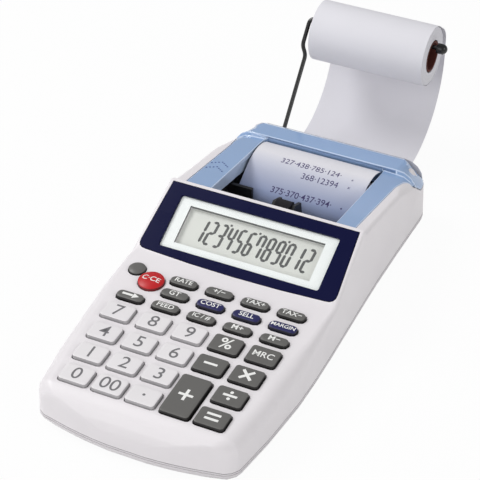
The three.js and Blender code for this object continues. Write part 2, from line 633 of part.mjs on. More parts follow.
// Plan of the U-shaped cover; grow makes the pocket that holds it
function coverPlan(grow) {
  const outer = COVER.armOuter + grow;
  const front = bayFront - grow;
  const wide = CASE.widestHalf + OVERRUN;
  const back = COVER.back + grow;
  const horn = outer + COVER.hornReach;
  const flareEnd = COVER.flareEnd - grow;
  const flareStart = COVER.flareStart - grow;
  const spread = (flareEnd - flareStart) * COVER.flareShare;
  const r = COVER.frontCorner;
  const shape = new THREE.Shape();
  shape.moveTo(-outer + r, front);
  shape.lineTo(outer - r, front);
  shape.absarc(outer - r, front + r, r, -Math.PI / 2, 0);
  shape.lineTo(outer, flareStart);
  shape.quadraticCurveTo(outer + spread, flareEnd, horn, flareEnd);
  shape.quadraticCurveTo(horn + COVER.hornBend, flareEnd + COVER.hornSlip, wide, back);
  shape.lineTo(-wide, back);
  shape.quadraticCurveTo(-horn - COVER.hornBend, flareEnd + COVER.hornSlip, -horn, flareEnd);
  shape.quadraticCurveTo(-outer - spread, flareEnd, -outer, flareStart);
  shape.lineTo(-outer, front + r);
  shape.absarc(-outer + r, front + r, r, Math.PI, Math.PI * 1.5);
  return shape;
}

// Block that the cover is cut from: its plan, swept back below the flares into a horn at each end
function coverBlock(grow) {
  const low = COVER.flankBottom - grow;
  const hornTop = low + COVER.hornRise;
  const hornFront = COVER.flareEnd - grow;
  const high = crest.z + OVERRUN;
  const front = bayFront - OVERRUN;
  const wide = CASE.widestHalf + OVERRUN * 2;
  const side = new THREE.Shape([
    [front, high], [front, hornTop], [hornFront, hornTop], [hornFront + COVER.hornSweep, low],
    [CASE.length, low], [CASE.length, high],
  ].map(([y, z]) => new THREE.Vector2(y, z)));
  return toSolid(prism(coverPlan(grow), low, crest.z)).intersect(toSolid(sidePrism(side, -wide, wide)));
}

function openingPlan(grow) {
  const half = COVER.opening + grow;
  const end = COVER.openingEnd + grow;
  const front = bayFront - OVERRUN;
  const r = COVER.innerCorner + grow;
  const shape = new THREE.Shape();
  shape.moveTo(-half, front);
  shape.lineTo(half, front);
  shape.lineTo(half, end - r);
  shape.absarc(half - r, end - r, r, 0, Math.PI / 2);
  shape.lineTo(-half + r, end);
  shape.absarc(-half + r, end - r, r, Math.PI / 2, Math.PI);
  return shape;
}

// Upper and lower case
const outerForm = envelope();

function joined(solids) {
  return solids.reduce((sum, solid) => sum.add(solid));
}

function upperWall(y) {
  if (y < hoodStart.y - OVERRUN) return CASE.wall / cos(DECK.slope);
  if (y < slopeStart.y) return HOOD.wall / cos(HOOD.slope);
  return HOOD.wall;
}

function earShape(grow) {
  const shape = new THREE.Shape();
  const r = EAR.radius;
  const root = CASE.length - CASE.wall;
  shape.moveTo(root, PIVOT.z - r * EAR.rootShare);
  shape.lineTo(PIVOT.y, PIVOT.z - r);
  shape.absarc(PIVOT.y, PIVOT.z, r, -Math.PI / 2, Math.PI / 2);
  shape.lineTo(root, PIVOT.z + r);
  const hole = new THREE.Path();
  hole.absarc(PIVOT.y, PIVOT.z, ARM.wire + grow, 0, Math.PI * 2, true);
  shape.holes.push(hole);
  return shape;
}

function upperCase() {
  const cavity = innerEnvelope(CASE.wall, upperWall, -OVERRUN)
    .subtract(toSolid(box(-CASE.widestHalf, CASE.widestHalf, bayFront - BAY.crestWall, bayFront,
      BATTERY.roof + BATTERY.wall + GAP, crest.z)));
  const rearBlock = toSolid(box(-CASE.widestHalf, CASE.widestHalf, CASE.shoulderFront,
    CASE.length, CASE.shoulderBottom, crest.z));
  const shoulder = rearBlock.subtract(
    innerEnvelope(CASE.shoulderWall, () => CASE.shoulderWall, -OVERRUN));
  const below = toSolid(box(-CASE.widestHalf - OVERRUN, CASE.widestHalf + OVERRUN, -OVERRUN,
    CASE.length + OVERRUN, -OVERRUN, CASE.seam));
  let shell = outerForm.subtract(cavity.subtract(shoulder)).subtract(below);
  const openings = joined(keys.map((key) =>
    toSolid(keyOpening(key, GAP, -CASE.wall - HOOD.wall, KEY.proud))));
  shell = shell.subtract(openings);
  shell = shell.subtract(toSolid(hoodPrism(bezelShape(GAP), -BEZEL.depth - GAP, crest.z)));
  shell = shell.subtract(toSolid(hoodPrism(
    panelShape(LCD.half, LCD.bottom, LCD.top, WINDOW.corner), -HOOD.wall - OVERRUN, OVERRUN)));
  const bay = shifted(roundedRect(BAY.half, (BAY.rear - bayFront) / 2, CASE.rearCorner),
    0, (BAY.rear + bayFront) / 2);
  shell = shell.subtract(toSolid(prism(bay, -OVERRUN, crest.z)));
  const seatDepth = COVER.skin + GAP;
  const seat = coverBlock(GAP).subtract(innerEnvelope(seatDepth, () => seatDepth, -OVERRUN));
  shell = shell.subtract(seat);
  shell = shell.subtract(toSolid(box(-SLOT.half, SLOT.half, CASE.length - CASE.rearCorner,
    CASE.length + OVERRUN, SLOT.z - SLOT.height / 2, SLOT.z + SLOT.height / 2)));
  const ears = [0, 1].map((i) => {
    const outerX = -EAR.innerX - i * EAR.pitch;
    return toSolid(sidePrism(earShape(GAP), outerX - EAR.thickness, outerX, 5));
  });
  const lugs = joined(ears).subtract(cavity);
  return toGeometry(shell.add(lugs));
}

function boardUnder(y) {
  const sheetUnder = CASE.wall + KEY.flange + KEY.travel + MAT.dome + MAT.sheet + GAP * 2;
  const depth = sheetUnder + GAP + BOARD.thickness;
  return deckHeight(y) - depth / cos(DECK.slope);
}

function lowerCase() {
  const top = CASE.seam - CASE.seamGap;
  const above = toSolid(box(-CASE.widestHalf - OVERRUN, CASE.widestHalf + OVERRUN, -OVERRUN,
    CASE.length + EAR.radius * 2, top, crest.z + OVERRUN));
  let tray = outerForm.subtract(above);
  tray = tray.subtract(toSolid(prism(planOutline(CASE.wall), CASE.floor, crest.z)));
  const root = CASE.floor / 2;
  const hollow = toSolid(prism(planOutline(LIP.inset + LIP.wall, LIP.rearInset + LIP.wall), 0, crest.z));
  const lip = toSolid(prism(planOutline(LIP.inset, LIP.rearInset), root, LIP.top)).subtract(hollow);
  const ledge = toSolid(prism(planOutline(CASE.wall / 2), root, top)).subtract(hollow);
  tray = tray.add(lip).add(ledge);
  const wall = BATTERY.wall;
  const bayOuter = toSolid(box(-BATTERY.half - wall, BATTERY.half + wall, BATTERY.front - wall,
    BATTERY.rear + wall, CASE.floor / 2, BATTERY.roof + wall));
  tray = tray.add(bayOuter);
  tray = tray.subtract(toSolid(box(-BATTERY.half, BATTERY.half, BATTERY.front, BATTERY.rear,
    -OVERRUN, BATTERY.roof)));
  for (const share of PILLAR.rowsShare) {
    for (const side of [-1, 1]) {
      const y = CASE.length * share;
      const height = boardUnder(y - PILLAR.radius) - GAP;
      const post = new THREE.CylinderGeometry(PILLAR.radius, PILLAR.radius, height, 12)
        .rotateX(Math.PI / 2)
        .translate(side * PILLAR.x, y, height / 2);
      tray = tray.add(toSolid(post));
    }
  }
  for (const y of [FOOT.front, FOOT.rear]) {
    const groove = shifted(roundedRect(FOOT.half + GAP, FOOT.depth / 2 + GAP, FOOT.depth), 0, y);
    tray = tray.subtract(toSolid(prism(groove, -OVERRUN, FOOT.inset)));
  }
  return toGeometry(tray);
}

function footGeometry(y) {
  const shape = shifted(roundedRect(FOOT.half, FOOT.depth / 2, FOOT.depth), 0, y);
  return prism(shape, -FOOT.height, FOOT.inset - GAP);
}

function batteryCover() {
  const middle = (BATTERY.front + BATTERY.rear) / 2;
  const halfDepth = (BATTERY.rear - BATTERY.front) / 2 - GAP;
  const plate = shifted(roundedRect(BATTERY.half - GAP, halfDepth, BATTERY.corner), 0, middle);
  let cover = toSolid(prism(plate, 0, BATTERY.coverWall));
  const rib = box(-BATTERY.latch, BATTERY.latch, BATTERY.front + GAP, BATTERY.front + GAP + BATTERY.lip,
    BATTERY.coverWall / 2, BATTERY.coverWall * BATTERY.ribShare);
  const grip = box(-BATTERY.latch, BATTERY.latch, BATTERY.rear - BATTERY.corner * 3,
    BATTERY.rear - BATTERY.corner * 2, -OVERRUN, BATTERY.coverWall / 2);
  cover = cover.add(toSolid(rib)).subtract(toSolid(grip));
  return toGeometry(cover);
}

// Display
function displayPieces() {
  const bezel = toSolid(hoodPrism(bezelShape(0), -BEZEL.depth, BEZEL.proud, 6))
    .subtract(toSolid(hoodPrism(panelShape(WINDOW.half, WINDOW.bottom, WINDOW.top, WINDOW.corner),
      -BEZEL.depth - OVERRUN, BEZEL.proud + OVERRUN)));
  addPiece('display_bezel', toGeometry(bezel), COLOUR.bezel, 0.25);
  const pane = panelShape(WINDOW.half - GAP, WINDOW.bottom + GAP, WINDOW.top - GAP, WINDOW.corner);
  addPiece('display_window', hoodPrism(pane, -BEZEL.depth, -BEZEL.depth + WINDOW.thickness),
    COLOUR.window, 0.08);
  const panelTop = -HOOD.wall - GAP;
  const glass = panelShape(LCD.half, LCD.bottom, LCD.top, WINDOW.corner, LCD.margin);
  addPiece('lcd_panel', hoodPrism(glass, panelTop - LCD.thickness, panelTop), COLOUR.lcd, 0.3);
}

// Key mat with a dome under each key, and the board under the mat
function matAndBoard() {
  const domeTop = -CASE.wall - GAP - KEY.flange - KEY.travel - GAP;
  const sheetTop = domeTop - MAT.dome;
  const middle = (MAT.start + MAT.end) / 2;
  const halfLength = (MAT.end - MAT.start) / 2 / cos(DECK.slope);
  const sheetShape = roundedRect(MAT.half, halfLength, KEY.corner * 2);
  let mat = toSolid(prism(sheetShape, sheetTop - MAT.sheet, sheetTop).applyMatrix4(deckMatrix(0, middle)));
  for (const key of keys) {
    const radius = Math.min(KEY.depth, key.halfDepth * 2) * MAT.domeShare;
    const dome = new THREE.CylinderGeometry(radius * MAT.taperShare, radius, MAT.dome + GAP, 6)
      .rotateX(Math.PI / 2)
      .translate(0, 0, (domeTop + sheetTop - GAP) / 2)
      .applyMatrix4(deckMatrix(key.x, key.y));
    mat = mat.add(toSolid(dome));
  }
  addPiece('key_mat', toGeometry(mat), COLOUR.mat, 0.8);
  const boardTop = sheetTop - MAT.sheet - GAP;
  addPiece('main_board', prism(sheetShape, boardTop - BOARD.thickness, boardTop)
    .applyMatrix4(deckMatrix(0, middle)), COLOUR.board, 0.5);
}

function addKeys() {
  for (const key of keys) {
    const mesh = addPiece(key.name, keyGeometry(key), key.colour, 0.45);
    mesh.applyMatrix4(deckMatrix(key.x, key.y));
  }
}

function printerCover() {
  const skinForm = innerEnvelope(COVER.skin, () => COVER.skin, -OVERRUN);
  let cover = outerForm.subtract(skinForm).intersect(coverBlock(0));
  cover = cover.subtract(toSolid(prism(openingPlan(0), 0, crest.z)));
  const reach = COVER.opening + COVER.skirtWall * 2;
  const frontBit = toSolid(box(-reach, reach, bayFront + COVER.innerCorner,
    COVER.openingEnd + COVER.skirtWall * 2, 0, crest.z));
  const skirt = toSolid(prism(openingPlan(COVER.skirtWall), 0, crest.z))
    .subtract(toSolid(prism(openingPlan(0), -OVERRUN, crest.z + OVERRUN)))
    .intersect(outerForm)
    .subtract(outerForm.translate(0, 0, -COVER.skirt))
    .intersect(frontBit);
  return toGeometry(cover.add(skirt));
}

// Paper: a thin band along a path of points in (Y, Z)
function band(points, halfThickness) {
  const leftSide = [];
  const rightSide = [];
  points.forEach((p, i) => {
    const before = points[Math.max(i - 1, 0)];
    const after = points[Math.min(i + 1, points.length - 1)];
    const along = new THREE.Vector2().subVectors(after, before).normalize();
    const normal = new THREE.Vector2(-along.y, along.x).multiplyScalar(halfThickness);
    leftSide.push(p.clone().add(normal));
    rightSide.push(p.clone().sub(normal));
  });
  return new THREE.Shape([...leftSide, ...rightSide.reverse()]);
}

function arcPoints(cy, cz, radius, fromAngle, toAngle, steps) {
  const points = [];
  for (let i = 0; i <= steps; i += 1) {
    const angle = fromAngle + (toAngle - fromAngle) * i / steps;
    points.push(new THREE.Vector2(cy + radius * cos(angle), cz + radius * sin(angle)));
  }
  return points;
}

function stripPath() {
  const start = new THREE.Vector2(PIVOT.y - PAPER.guideGap * 2, SLOT.z);
  const inside = new THREE.Vector2(CASE.length - CASE.rearCorner / 2, SLOT.z);
  const wrap = FEED.radius + GAP + PAPER.thickness / 2;
  const dy = inside.x - FEED.y;
  const dz = inside.y - FEED.z;
  const distance = Math.hypot(dy, dz);
  const bottomAngle = Math.atan2(dz, dy) / DEG - Math.acos(wrap / distance) / DEG;
  const around = arcPoints(FEED.y, FEED.z, wrap, bottomAngle, -180, 8);
  const riseTop = FEED.z + TONGUE.rise;
  const bendCentre = FEED.y - wrap + TONGUE.bend;
  const bend = arcPoints(bendCentre, riseTop, TONGUE.bend, 180, 180 - TONGUE.lean, 6);
  const bendEnd = bend[bend.length - 1];
  const elevation = 90 - TONGUE.lean;
  const straight = TONGUE.apexY - TONGUE.apexBend * sin(elevation) - bendEnd.x;
  const apexCentreZ = bendEnd.y + straight * tan(elevation) - TONGUE.apexBend * cos(elevation);
  const endLean = Math.asin(TONGUE.apexToEnd / TONGUE.apexBend) / DEG;
  const over = arcPoints(TONGUE.apexY, apexCentreZ, TONGUE.apexBend, 90 + elevation, 90 - endLean, 10);
  return [start, inside, ...around, ...bend, ...over];
}

function webPath() {
  const touch = ROLL.radius + GAP + PAPER.thickness / 2;
  const reach = WEB.reach - PAPER.thickness / 2;
  const lap = [];
  for (let i = 0; i < WEB.wrapSteps; i += 1) {
    const share = i / WEB.wrapSteps;
    const radius = THREE.MathUtils.lerp(touch, reach, THREE.MathUtils.smoothstep(share, 0, 1));
    const angle = WEB.wrap * (1 - share);
    lap.push(new THREE.Vector2(ROLL.y + radius * cos(angle), ROLL.z + radius * sin(angle)));
  }
  lap.push(new THREE.Vector2(ROLL.y + reach, ROLL.z));
  const bend = arcPoints(ROLL.y + reach - WEB.bend, SLOT.z + WEB.bend, WEB.bend, 0, -90, WEB.bendSteps);
  return [...lap, ...bend, new THREE.Vector2(PIVOT.y + PAPER.guideGap * 2, SLOT.z)];
}

function addPaper() {
  const half = PAPER.width / 2;
  const sheet = PAPER.thickness / 2;
  addPiece('paper_strip', sidePrism(band(stripPath(), sheet), -half, half), COLOUR.paper, 0.85);
  addPiece('paper_web', sidePrism(band(webPath(), sheet), -half, half), COLOUR.paper, 0.85);
  const rollInner = ROLL.coreOuter + ROLL.coreFit;
  addPiece('paper_roll', sleeve(ROLL.radius, rollInner, -half, half, ROLL.y, ROLL.z, 40),
    COLOUR.paper, 0.85);
  addPiece('roll_core', sleeve(ROLL.coreOuter, ROLL.coreInner, -half, half, ROLL.y, ROLL.z, 24),
    COLOUR.core, 0.9);
}

// Wire arm: foot in the lugs, leg up to the roll, axle through its core
const axle = { y: ROLL.y, z: ROLL.z + ROLL.coreInner - GAP - ARM.wire };

function wireRoute() {
  const foot = new THREE.Vector3(-ARM.footEnd, PIVOT.y, PIVOT.z);
  const knee = new THREE.Vector3(-ARM.lowerX, PIVOT.y, PIVOT.z);
  const top = new THREE.Vector3(-ARM.upperX, axle.y, axle.z);
  const legPoint = (share, x) => new THREE.Vector3(x,
    PIVOT.y + (axle.y - PIVOT.y) * share, PIVOT.z + (axle.z - PIVOT.z) * share);
  const jogLow = legPoint(ARM.jogShare, -ARM.lowerX);
  const jogHigh = legPoint(ARM.jogShare + ARM.jogLengthShare, -ARM.upperX);
  const end = new THREE.Vector3(PAPER.width / 2 + ARM.capInset + ARM.bend, axle.y, axle.z);
  return [foot, knee, jogLow, jogHigh, top, end];
}

// Sweeps a round wire along straight runs joined by rounded bends
function wireGeometry(route, radius, bendRadius) {
  const sides = 8;
  const bendSteps = 4;
  const path = [route[0]];
  for (let i = 1; i + 1 < route.length; i += 1) {
    const toBack = route[i - 1].clone().sub(route[i]);
    const toNext = route[i + 1].clone().sub(route[i]);
    const shortest = Math.min(toBack.length(), toNext.length());
    const cut = Math.min(bendRadius, shortest * ARM.cutShare);
    const from = route[i].clone().add(toBack.setLength(cut));
    const to = route[i].clone().add(toNext.setLength(cut));
    const curve = new THREE.QuadraticBezierCurve3(from, route[i], to);
    path.push(...curve.getPoints(bendSteps));
  }
  path.push(route[route.length - 1]);
  const rings = [];
  let side = new THREE.Vector3(0, -1, 1).normalize();
  path.forEach((p, i) => {
    const before = path[Math.max(i - 1, 0)];
    const after = path[Math.min(i + 1, path.length - 1)];
    const along = after.clone().sub(before).normalize();
    side = side.clone().addScaledVector(along, -side.dot(along)).normalize();
    const up = new THREE.Vector3().crossVectors(along, side);
    rings.push(Array.from({ length: sides }, (unused, k) => {
      const angle = 360 * k / sides;
      return p.clone().addScaledVector(side, radius * cos(angle)).addScaledVector(up, radius * sin(angle));
    }));
  });
  return loft(rings);
}

function addArm() {
  addPiece('roll_arm', wireGeometry(wireRoute(), ARM.wire, ARM.bend), COLOUR.black, 0.35, 0.4);
  const start = PAPER.width / 2 + ARM.capInset;
  const length = ARM.bend + OVERRUN + ARM.capRadius / 2;
  const bore = ARM.wire + GAP / 3;
  const r = ARM.capRadius;
  const rim = ARM.capRimShares.map(([radius, along]) => [r * radius, r * along]);
  const nose = ARM.capNoseShares.map(([radius, along]) => [r * radius, length - r * along]);
  const profile = [[bore, 0], ...rim, ...nose, [0, length], [0, ARM.bend + GAP],
    [bore, ARM.bend + GAP], [bore, 0]].map(([radius, along]) => new THREE.Vector2(radius, along));
  const cap = new THREE.LatheGeometry(profile, 16)
    .rotateZ(-Math.PI / 2)
    .translate(start, axle.y, axle.z);
  addPiece('axle_cap', cap, COLOUR.black, 0.3);
}

// Gear outline with straight-flanked teeth
function gearShape(teeth, phase, boreRadius) {
  const pitchRadius = GEAR.module * teeth / 2;
  const tip = pitchRadius + GEAR.module * GEAR.tipShare;
  const root = pitchRadius - GEAR.module * GEAR.rootShare;
  const [foot, head] = [GEAR.footShare, GEAR.headShare];
  const step = 360 / teeth;
  const points = [];
  for (let i = 0; i < teeth; i += 1) {
    const middle = phase + i * step;
    for (const [radius, share] of [[root, -foot], [tip, -head], [tip, head], [root, foot]]) {
      const angle = middle + share * step;
      points.push(new THREE.Vector2(radius * cos(angle), radius * sin(angle)));
    }
  }
  const shape = new THREE.Shape(points);
  const hole = new THREE.Path();
  hole.absarc(0, 0, boreRadius, 0, Math.PI * 2, true);
  shape.holes.push(hole);
  return shape;
}

const motorAxis = {
  y: FEED.y + gearDistance * cos(GEAR.motorAngle),
  z: FEED.z + gearDistance * sin(GEAR.motorAngle),
};

function addGears() {
  const feed = sidePrism(gearShape(GEAR.feedTeeth, GEAR.motorAngle, FEED.shaft + GAP),
    GEAR.x, GEAR.x + GEAR.width, 6).translate(0, FEED.y, FEED.z);
  addPiece('feed_gear', feed, COLOUR.steel, 0.5);
  const spacePhase = GEAR.motorAngle + 180 + 180 / GEAR.pinionTeeth;
  const pinion = sidePrism(gearShape(GEAR.pinionTeeth, spacePhase, MOTOR.shaft + GAP),
    GEAR.x, GEAR.x + GEAR.width, 6).translate(0, motorAxis.y, motorAxis.z);
  addPiece('motor_pinion', pinion, COLOUR.brass, 0.35, 0.8);
}

function feedRoller() {
  const half = FEED.length / 2;
  const shaftRight = GEAR.x + GEAR.width + GAP;
  const shaftLeft = FRAME.cheekOuter + GAP;
  const profile = [[0, -shaftLeft], [FEED.shaft, -shaftLeft], [FEED.shaft, -half], [FEED.radius, -half],
    [FEED.radius, half], [FEED.shaft, half], [FEED.shaft, shaftRight], [0, shaftRight]]
    .map(([radius, along]) => new THREE.Vector2(radius, along));
  return new THREE.LatheGeometry(profile, 20).rotateZ(-Math.PI / 2).translate(0, FEED.y, FEED.z);
}

function printerFrame() {
  const inner = FRAME.cheekInner;
  const outer = FRAME.cheekOuter;
  const cheek = new THREE.Shape([
    [FRAME.front, FRAME.bottom], [FRAME.rear, FRAME.bottom], [FRAME.rear, PIVOT.z - SLOT.height * 2],
    [FEED.y + FEED.radius * 2, FEED.z + FEED.radius], [FEED.y, TAB.top],
    [FRAME.front + FRAME.tie, TAB.top], [FRAME.front, FEED.z],
  ].map(([y, z]) => new THREE.Vector2(y, z)));
  const bores = (radius, y, z) => toSolid(rod(radius, -outer - OVERRUN, outer + OVERRUN, y, z));
  const tie = (y0, y1, z0, z1) => toSolid(box(-outer, outer, y0, y1, z0, z1));
  let frame = toSolid(sidePrism(cheek, -outer, -inner)).add(toSolid(sidePrism(cheek, inner, outer)));
  frame = frame.add(tie(FRAME.rear - FRAME.tie * 3, FRAME.rear, FRAME.bottom, FRAME.bottom + FRAME.tie));
  frame = frame.add(tie(FEED.y, FEED.y + FRAME.tie * 2, FRAME.bottom, FRAME.bottom + FRAME.tie));
  const chuteFront = FEED.y + FEED.radius * 2;
  const slope = (SLOT.z - (FEED.z - FEED.radius)) / (CASE.length - CASE.rearCorner / 2 - FEED.y);
  const chuteHeight = (y) => FEED.z - FEED.radius - GAP * 3 + (y - FEED.y) * slope - PAPER.thickness;
  const chuteTop = [chuteFront, FRAME.rear].map((y) => new THREE.Vector2(y, chuteHeight(y)));
  const chuteUnder = chuteTop.map((p) => new THREE.Vector2(p.x, p.y - FRAME.cheekWall));
  const chute = new THREE.Shape([...chuteUnder, ...chuteTop.reverse()]);
  frame = frame.add(toSolid(sidePrism(chute, -outer, outer)));
  frame = frame.add(toSolid(box(-outer, -TAB.inner, TAB.front, TAB.front + TAB.thickness,
    FEED.z + FRAME.tie, TAB.top)));
  frame = frame.subtract(bores(FEED.shaft + GAP, FEED.y, FEED.z));
  frame = frame.subtract(bores(HEAD.shaft + GAP, HEAD.shaftY, HEAD.shaftZ));
  frame = frame.subtract(toSolid(rod(MOTOR.shaft + GAP * 2, 0, outer + OVERRUN, motorAxis.y, motorAxis.z)));
  return toGeometry(frame);
}

function motorGeometry() {
  const face = FRAME.cheekInner - GAP;
  const profile = [[0, -MOTOR.length], [MOTOR.rear / 2, -MOTOR.length],
    [MOTOR.rear / 2, -MOTOR.length + OVERRUN], [MOTOR.radius, -MOTOR.length + OVERRUN], [MOTOR.radius, 0],
    [MOTOR.shaft, 0], [MOTOR.shaft, GEAR.x + GEAR.width - face], [0, GEAR.x + GEAR.width - face]]
    .map(([radius, along]) => new THREE.Vector2(radius, along));
  return new THREE.LatheGeometry(profile, 20).rotateZ(-Math.PI / 2)
    .translate(face, motorAxis.y, motorAxis.z);
}

// Print head: two side plates round the type wheel and ink roller, sliding on the guide shaft
function printHead() {
  const y = HEAD.shaftY;
  const z = HEAD.shaftZ;
  const b = HEAD.boss;
  const plate = new THREE.Shape();
  plate.moveTo(y, z - b);
  plate.lineTo(TYPE.y, TYPE.z - TYPE.pin * 2);
  plate.lineTo(TYPE.y + TYPE.pin * 2, TYPE.z);
  plate.lineTo(TYPE.y + TYPE.pin, INK.z);
  plate.lineTo(INK.y, INK.z + TYPE.pin * 2);
  plate.lineTo(y - b / 2, INK.z);
  plate.lineTo(y - b, z);
  plate.absarc(y, z, b, Math.PI, Math.PI * 1.5);
  const inner = HEAD.inner;
  const outer = inner + HEAD.plate;
  let head = toSolid(sidePrism(plate, -outer, -inner)).add(toSolid(sidePrism(plate, inner, outer)));
  head = head.add(toSolid(rod(b, -outer, outer, y, z, 12)));
  for (const wheel of [TYPE, INK]) {
    head = head.add(toSolid(rod(TYPE.pin, -outer, outer, wheel.y, wheel.z, 12)));
  }
  head = head.subtract(toSolid(rod(HEAD.shaft + GAP, -outer - OVERRUN, outer + OVERRUN, y, z, 12)));
  return toGeometry(head);
}

function typeWheel() {
  const points = [];
  const [foot, head] = [TYPE.footShare, TYPE.headShare];
  const step = 360 / TYPE.teeth;
  for (let i = 0; i < TYPE.teeth; i += 1) {
    for (const [drop, share] of [[1, -foot], [0, -head], [0, head], [1, foot]]) {
      const radius = TYPE.radius - TYPE.toothDepth * drop;
      const angle = (i + share) * step;
      points.push(new THREE.Vector2(radius * cos(angle), radius * sin(angle)));
    }
  }
  const shape = new THREE.Shape(points);
  const hole = new THREE.Path();
  hole.absarc(0, 0, TYPE.pin + GAP, 0, Math.PI * 2, true);
  shape.holes.push(hole);
  return sidePrism(shape, -TYPE.half, TYPE.half, 6).translate(0, TYPE.y, TYPE.z);
}

function addPrinter() {
  addPiece('printer_frame', printerFrame(), COLOUR.black, 0.5);
  addPiece('printer_motor', motorGeometry(), COLOUR.steel, 0.35, 0.9);
  addGears();
  addPiece('feed_roller', feedRoller(), COLOUR.rubber, 0.8);
  const shaftEnd = FRAME.cheekOuter + GAP;
  addPiece('guide_shaft', rod(HEAD.shaft, -shaftEnd, shaftEnd, HEAD.shaftY, HEAD.shaftZ, 16),
    COLOUR.steel, 0.25, 1);
  addPiece('print_head', printHead(), COLOUR.black, 0.5);
  addPiece('type_wheel', typeWheel(), COLOUR.rubber, 0.6);
  addPiece('ink_roller', sleeve(INK.radius, TYPE.pin + GAP, -TYPE.half, TYPE.half, INK.y, INK.z, 20),
    COLOUR.ink, 0.9);
}

addPiece('upper_case', upperCase(), COLOUR.case, 0.45);
addPiece('lower_case', lowerCase(), COLOUR.tray, 0.5);
addPiece('battery_cover', batteryCover(), COLOUR.tray, 0.5);
addPiece('front_foot', footGeometry(FOOT.front), COLOUR.rubber, 0.9);
addPiece('rear_foot', footGeometry(FOOT.rear), COLOUR.rubber, 0.9);
displayPieces();
matAndBoard();
addKeys();
addPiece('printer_cover', printerCover(), COLOUR.cover, 0.2);
addPrinter();
addPaper();
addArm();

part.position.set(0, -(ROLL.y + WEB.reach) / 2, FOOT.height);
const calculator = new THREE.Group();
calculator.add(part);
calculator.updateMatrixWorld(true);

export default calculator;
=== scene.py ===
# %% [markdown]
# A portable printing calculator: a light wedge-shaped case with a keypad, a sloped
# display in a navy bezel, and a printer whose paper comes from a roll on a wire arm.
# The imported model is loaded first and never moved. Every piece made here rides on one
# of its bodies, so the keys, the cover, the arm and the roll all still move.

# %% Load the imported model
import json
from math import copysign, cos, hypot, pi, radians, sin, tan
import bmesh
import bpy
from mathutils import Matrix, Vector


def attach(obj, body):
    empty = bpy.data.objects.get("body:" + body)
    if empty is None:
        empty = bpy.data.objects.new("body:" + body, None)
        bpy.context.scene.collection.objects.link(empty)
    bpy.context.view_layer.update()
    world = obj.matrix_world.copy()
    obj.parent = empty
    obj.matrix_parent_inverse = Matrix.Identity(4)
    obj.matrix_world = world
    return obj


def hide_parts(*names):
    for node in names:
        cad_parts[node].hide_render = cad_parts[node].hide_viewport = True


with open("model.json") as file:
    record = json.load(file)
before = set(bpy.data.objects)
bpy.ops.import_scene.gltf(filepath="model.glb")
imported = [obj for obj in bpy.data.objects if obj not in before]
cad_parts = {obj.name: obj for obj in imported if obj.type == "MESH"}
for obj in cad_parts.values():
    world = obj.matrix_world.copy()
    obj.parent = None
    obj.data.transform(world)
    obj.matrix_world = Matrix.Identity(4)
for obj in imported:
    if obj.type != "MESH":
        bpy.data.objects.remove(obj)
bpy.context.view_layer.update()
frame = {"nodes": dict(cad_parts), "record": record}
MM = 0.001
moved = Matrix.Translation

# %% [markdown]
# The case has its own frame: y from its front edge and z from its underside. The model's
# origin is the middle of the footprint on the desk, so one small function turns case
# places in millimetres into scene places in metres. The key deck and the display hood
# are sloped, so each of them also gets a frame of its own.

# %% Places in the case's frame
FOOT, HALF_LENGTH = 1.5, 135
DECK_FRONT, DECK_SLOPE, DECK_END = 18.47, 3.5, 96
HOOD_SLOPE = 27.1
ROLL_Y, ROLL_Z, ROLL_RADIUS = 252, 57.4, 14.1
PAPER_HALF = 28.75
BODY_OF = {node: body for body, nodes in frame["record"]["behaviour"]["bodies"].items()
           for node in nodes}


def place(x, y, z):
    return Vector((x, y - HALF_LENGTH, z + FOOT)) * MM


def deck_height(y):
    return DECK_FRONT + y * tan(radians(DECK_SLOPE))


def deck_frame(x, y):
    turn = Matrix.Rotation(radians(DECK_SLOPE), 4, "X")
    return moved(place(x, y, deck_height(y))) @ turn


def hood_frame(up, lift):
    turn = Matrix.Rotation(radians(HOOD_SLOPE), 4, "X")
    start = moved(place(0, DECK_END, deck_height(DECK_END)))
    return start @ turn @ moved(Vector((0, up, lift)) * MM)


print("deck rises to", round(deck_height(DECK_END), 2), "mm at the hood")

# %% [markdown]
# The camera stands where the photographer stood. Its angles and distance were worked
# out from straight edges of the case, so the render can be laid over the photograph.

# %% Camera
def new_object(name, data):
    obj = bpy.data.objects.new(name, data)
    bpy.context.scene.collection.objects.link(obj)
    return obj


LOOK_AZIMUTH, LOOK_ELEVATION = radians(25.81), radians(36.33)
CAMERA_SIDE, CAMERA_UP, CAMERA_BACK = -40.36, -81.06, 762.6
FOCAL_PIXELS, FRAME_PIXELS, SENSOR = 1900, 480, 36
KEYPAD_START, CLIP_NEAR, CLIP_FAR = 11, 0.05, 20

look = Vector((-sin(LOOK_AZIMUTH) * cos(LOOK_ELEVATION),
               cos(LOOK_AZIMUTH) * cos(LOOK_ELEVATION),
               -sin(LOOK_ELEVATION)))
right = Vector((cos(LOOK_AZIMUTH), sin(LOOK_AZIMUTH), 0))
upward = right.cross(look)
eye = -(right * CAMERA_SIDE + upward * CAMERA_UP + look * CAMERA_BACK)
camera_data = bpy.data.cameras.new("camera")
camera_data.sensor_width = SENSOR
camera_data.lens = FOCAL_PIXELS / FRAME_PIXELS * SENSOR
camera_data.clip_start, camera_data.clip_end = CLIP_NEAR, CLIP_FAR
camera = new_object("camera", camera_data)
camera.location = place(eye.x, eye.y + KEYPAD_START, eye.z)
camera.rotation_mode = "QUATERNION"
camera.rotation_quaternion = Matrix((right, upward, -look)).transposed().to_quaternion()
bpy.context.scene.camera = camera
bpy.context.scene.view_settings.view_transform = "Standard"
print("camera at", [round(v, 3) for v in camera.location])

# %% [markdown]
# The stage is a pale floor, a lamp high on the left, a wide soft fill from the front, a
# weak one from the right and a plain world. To the camera the floor is nearly all its own
# white light, and the small rest of it still takes the object's soft shadow.

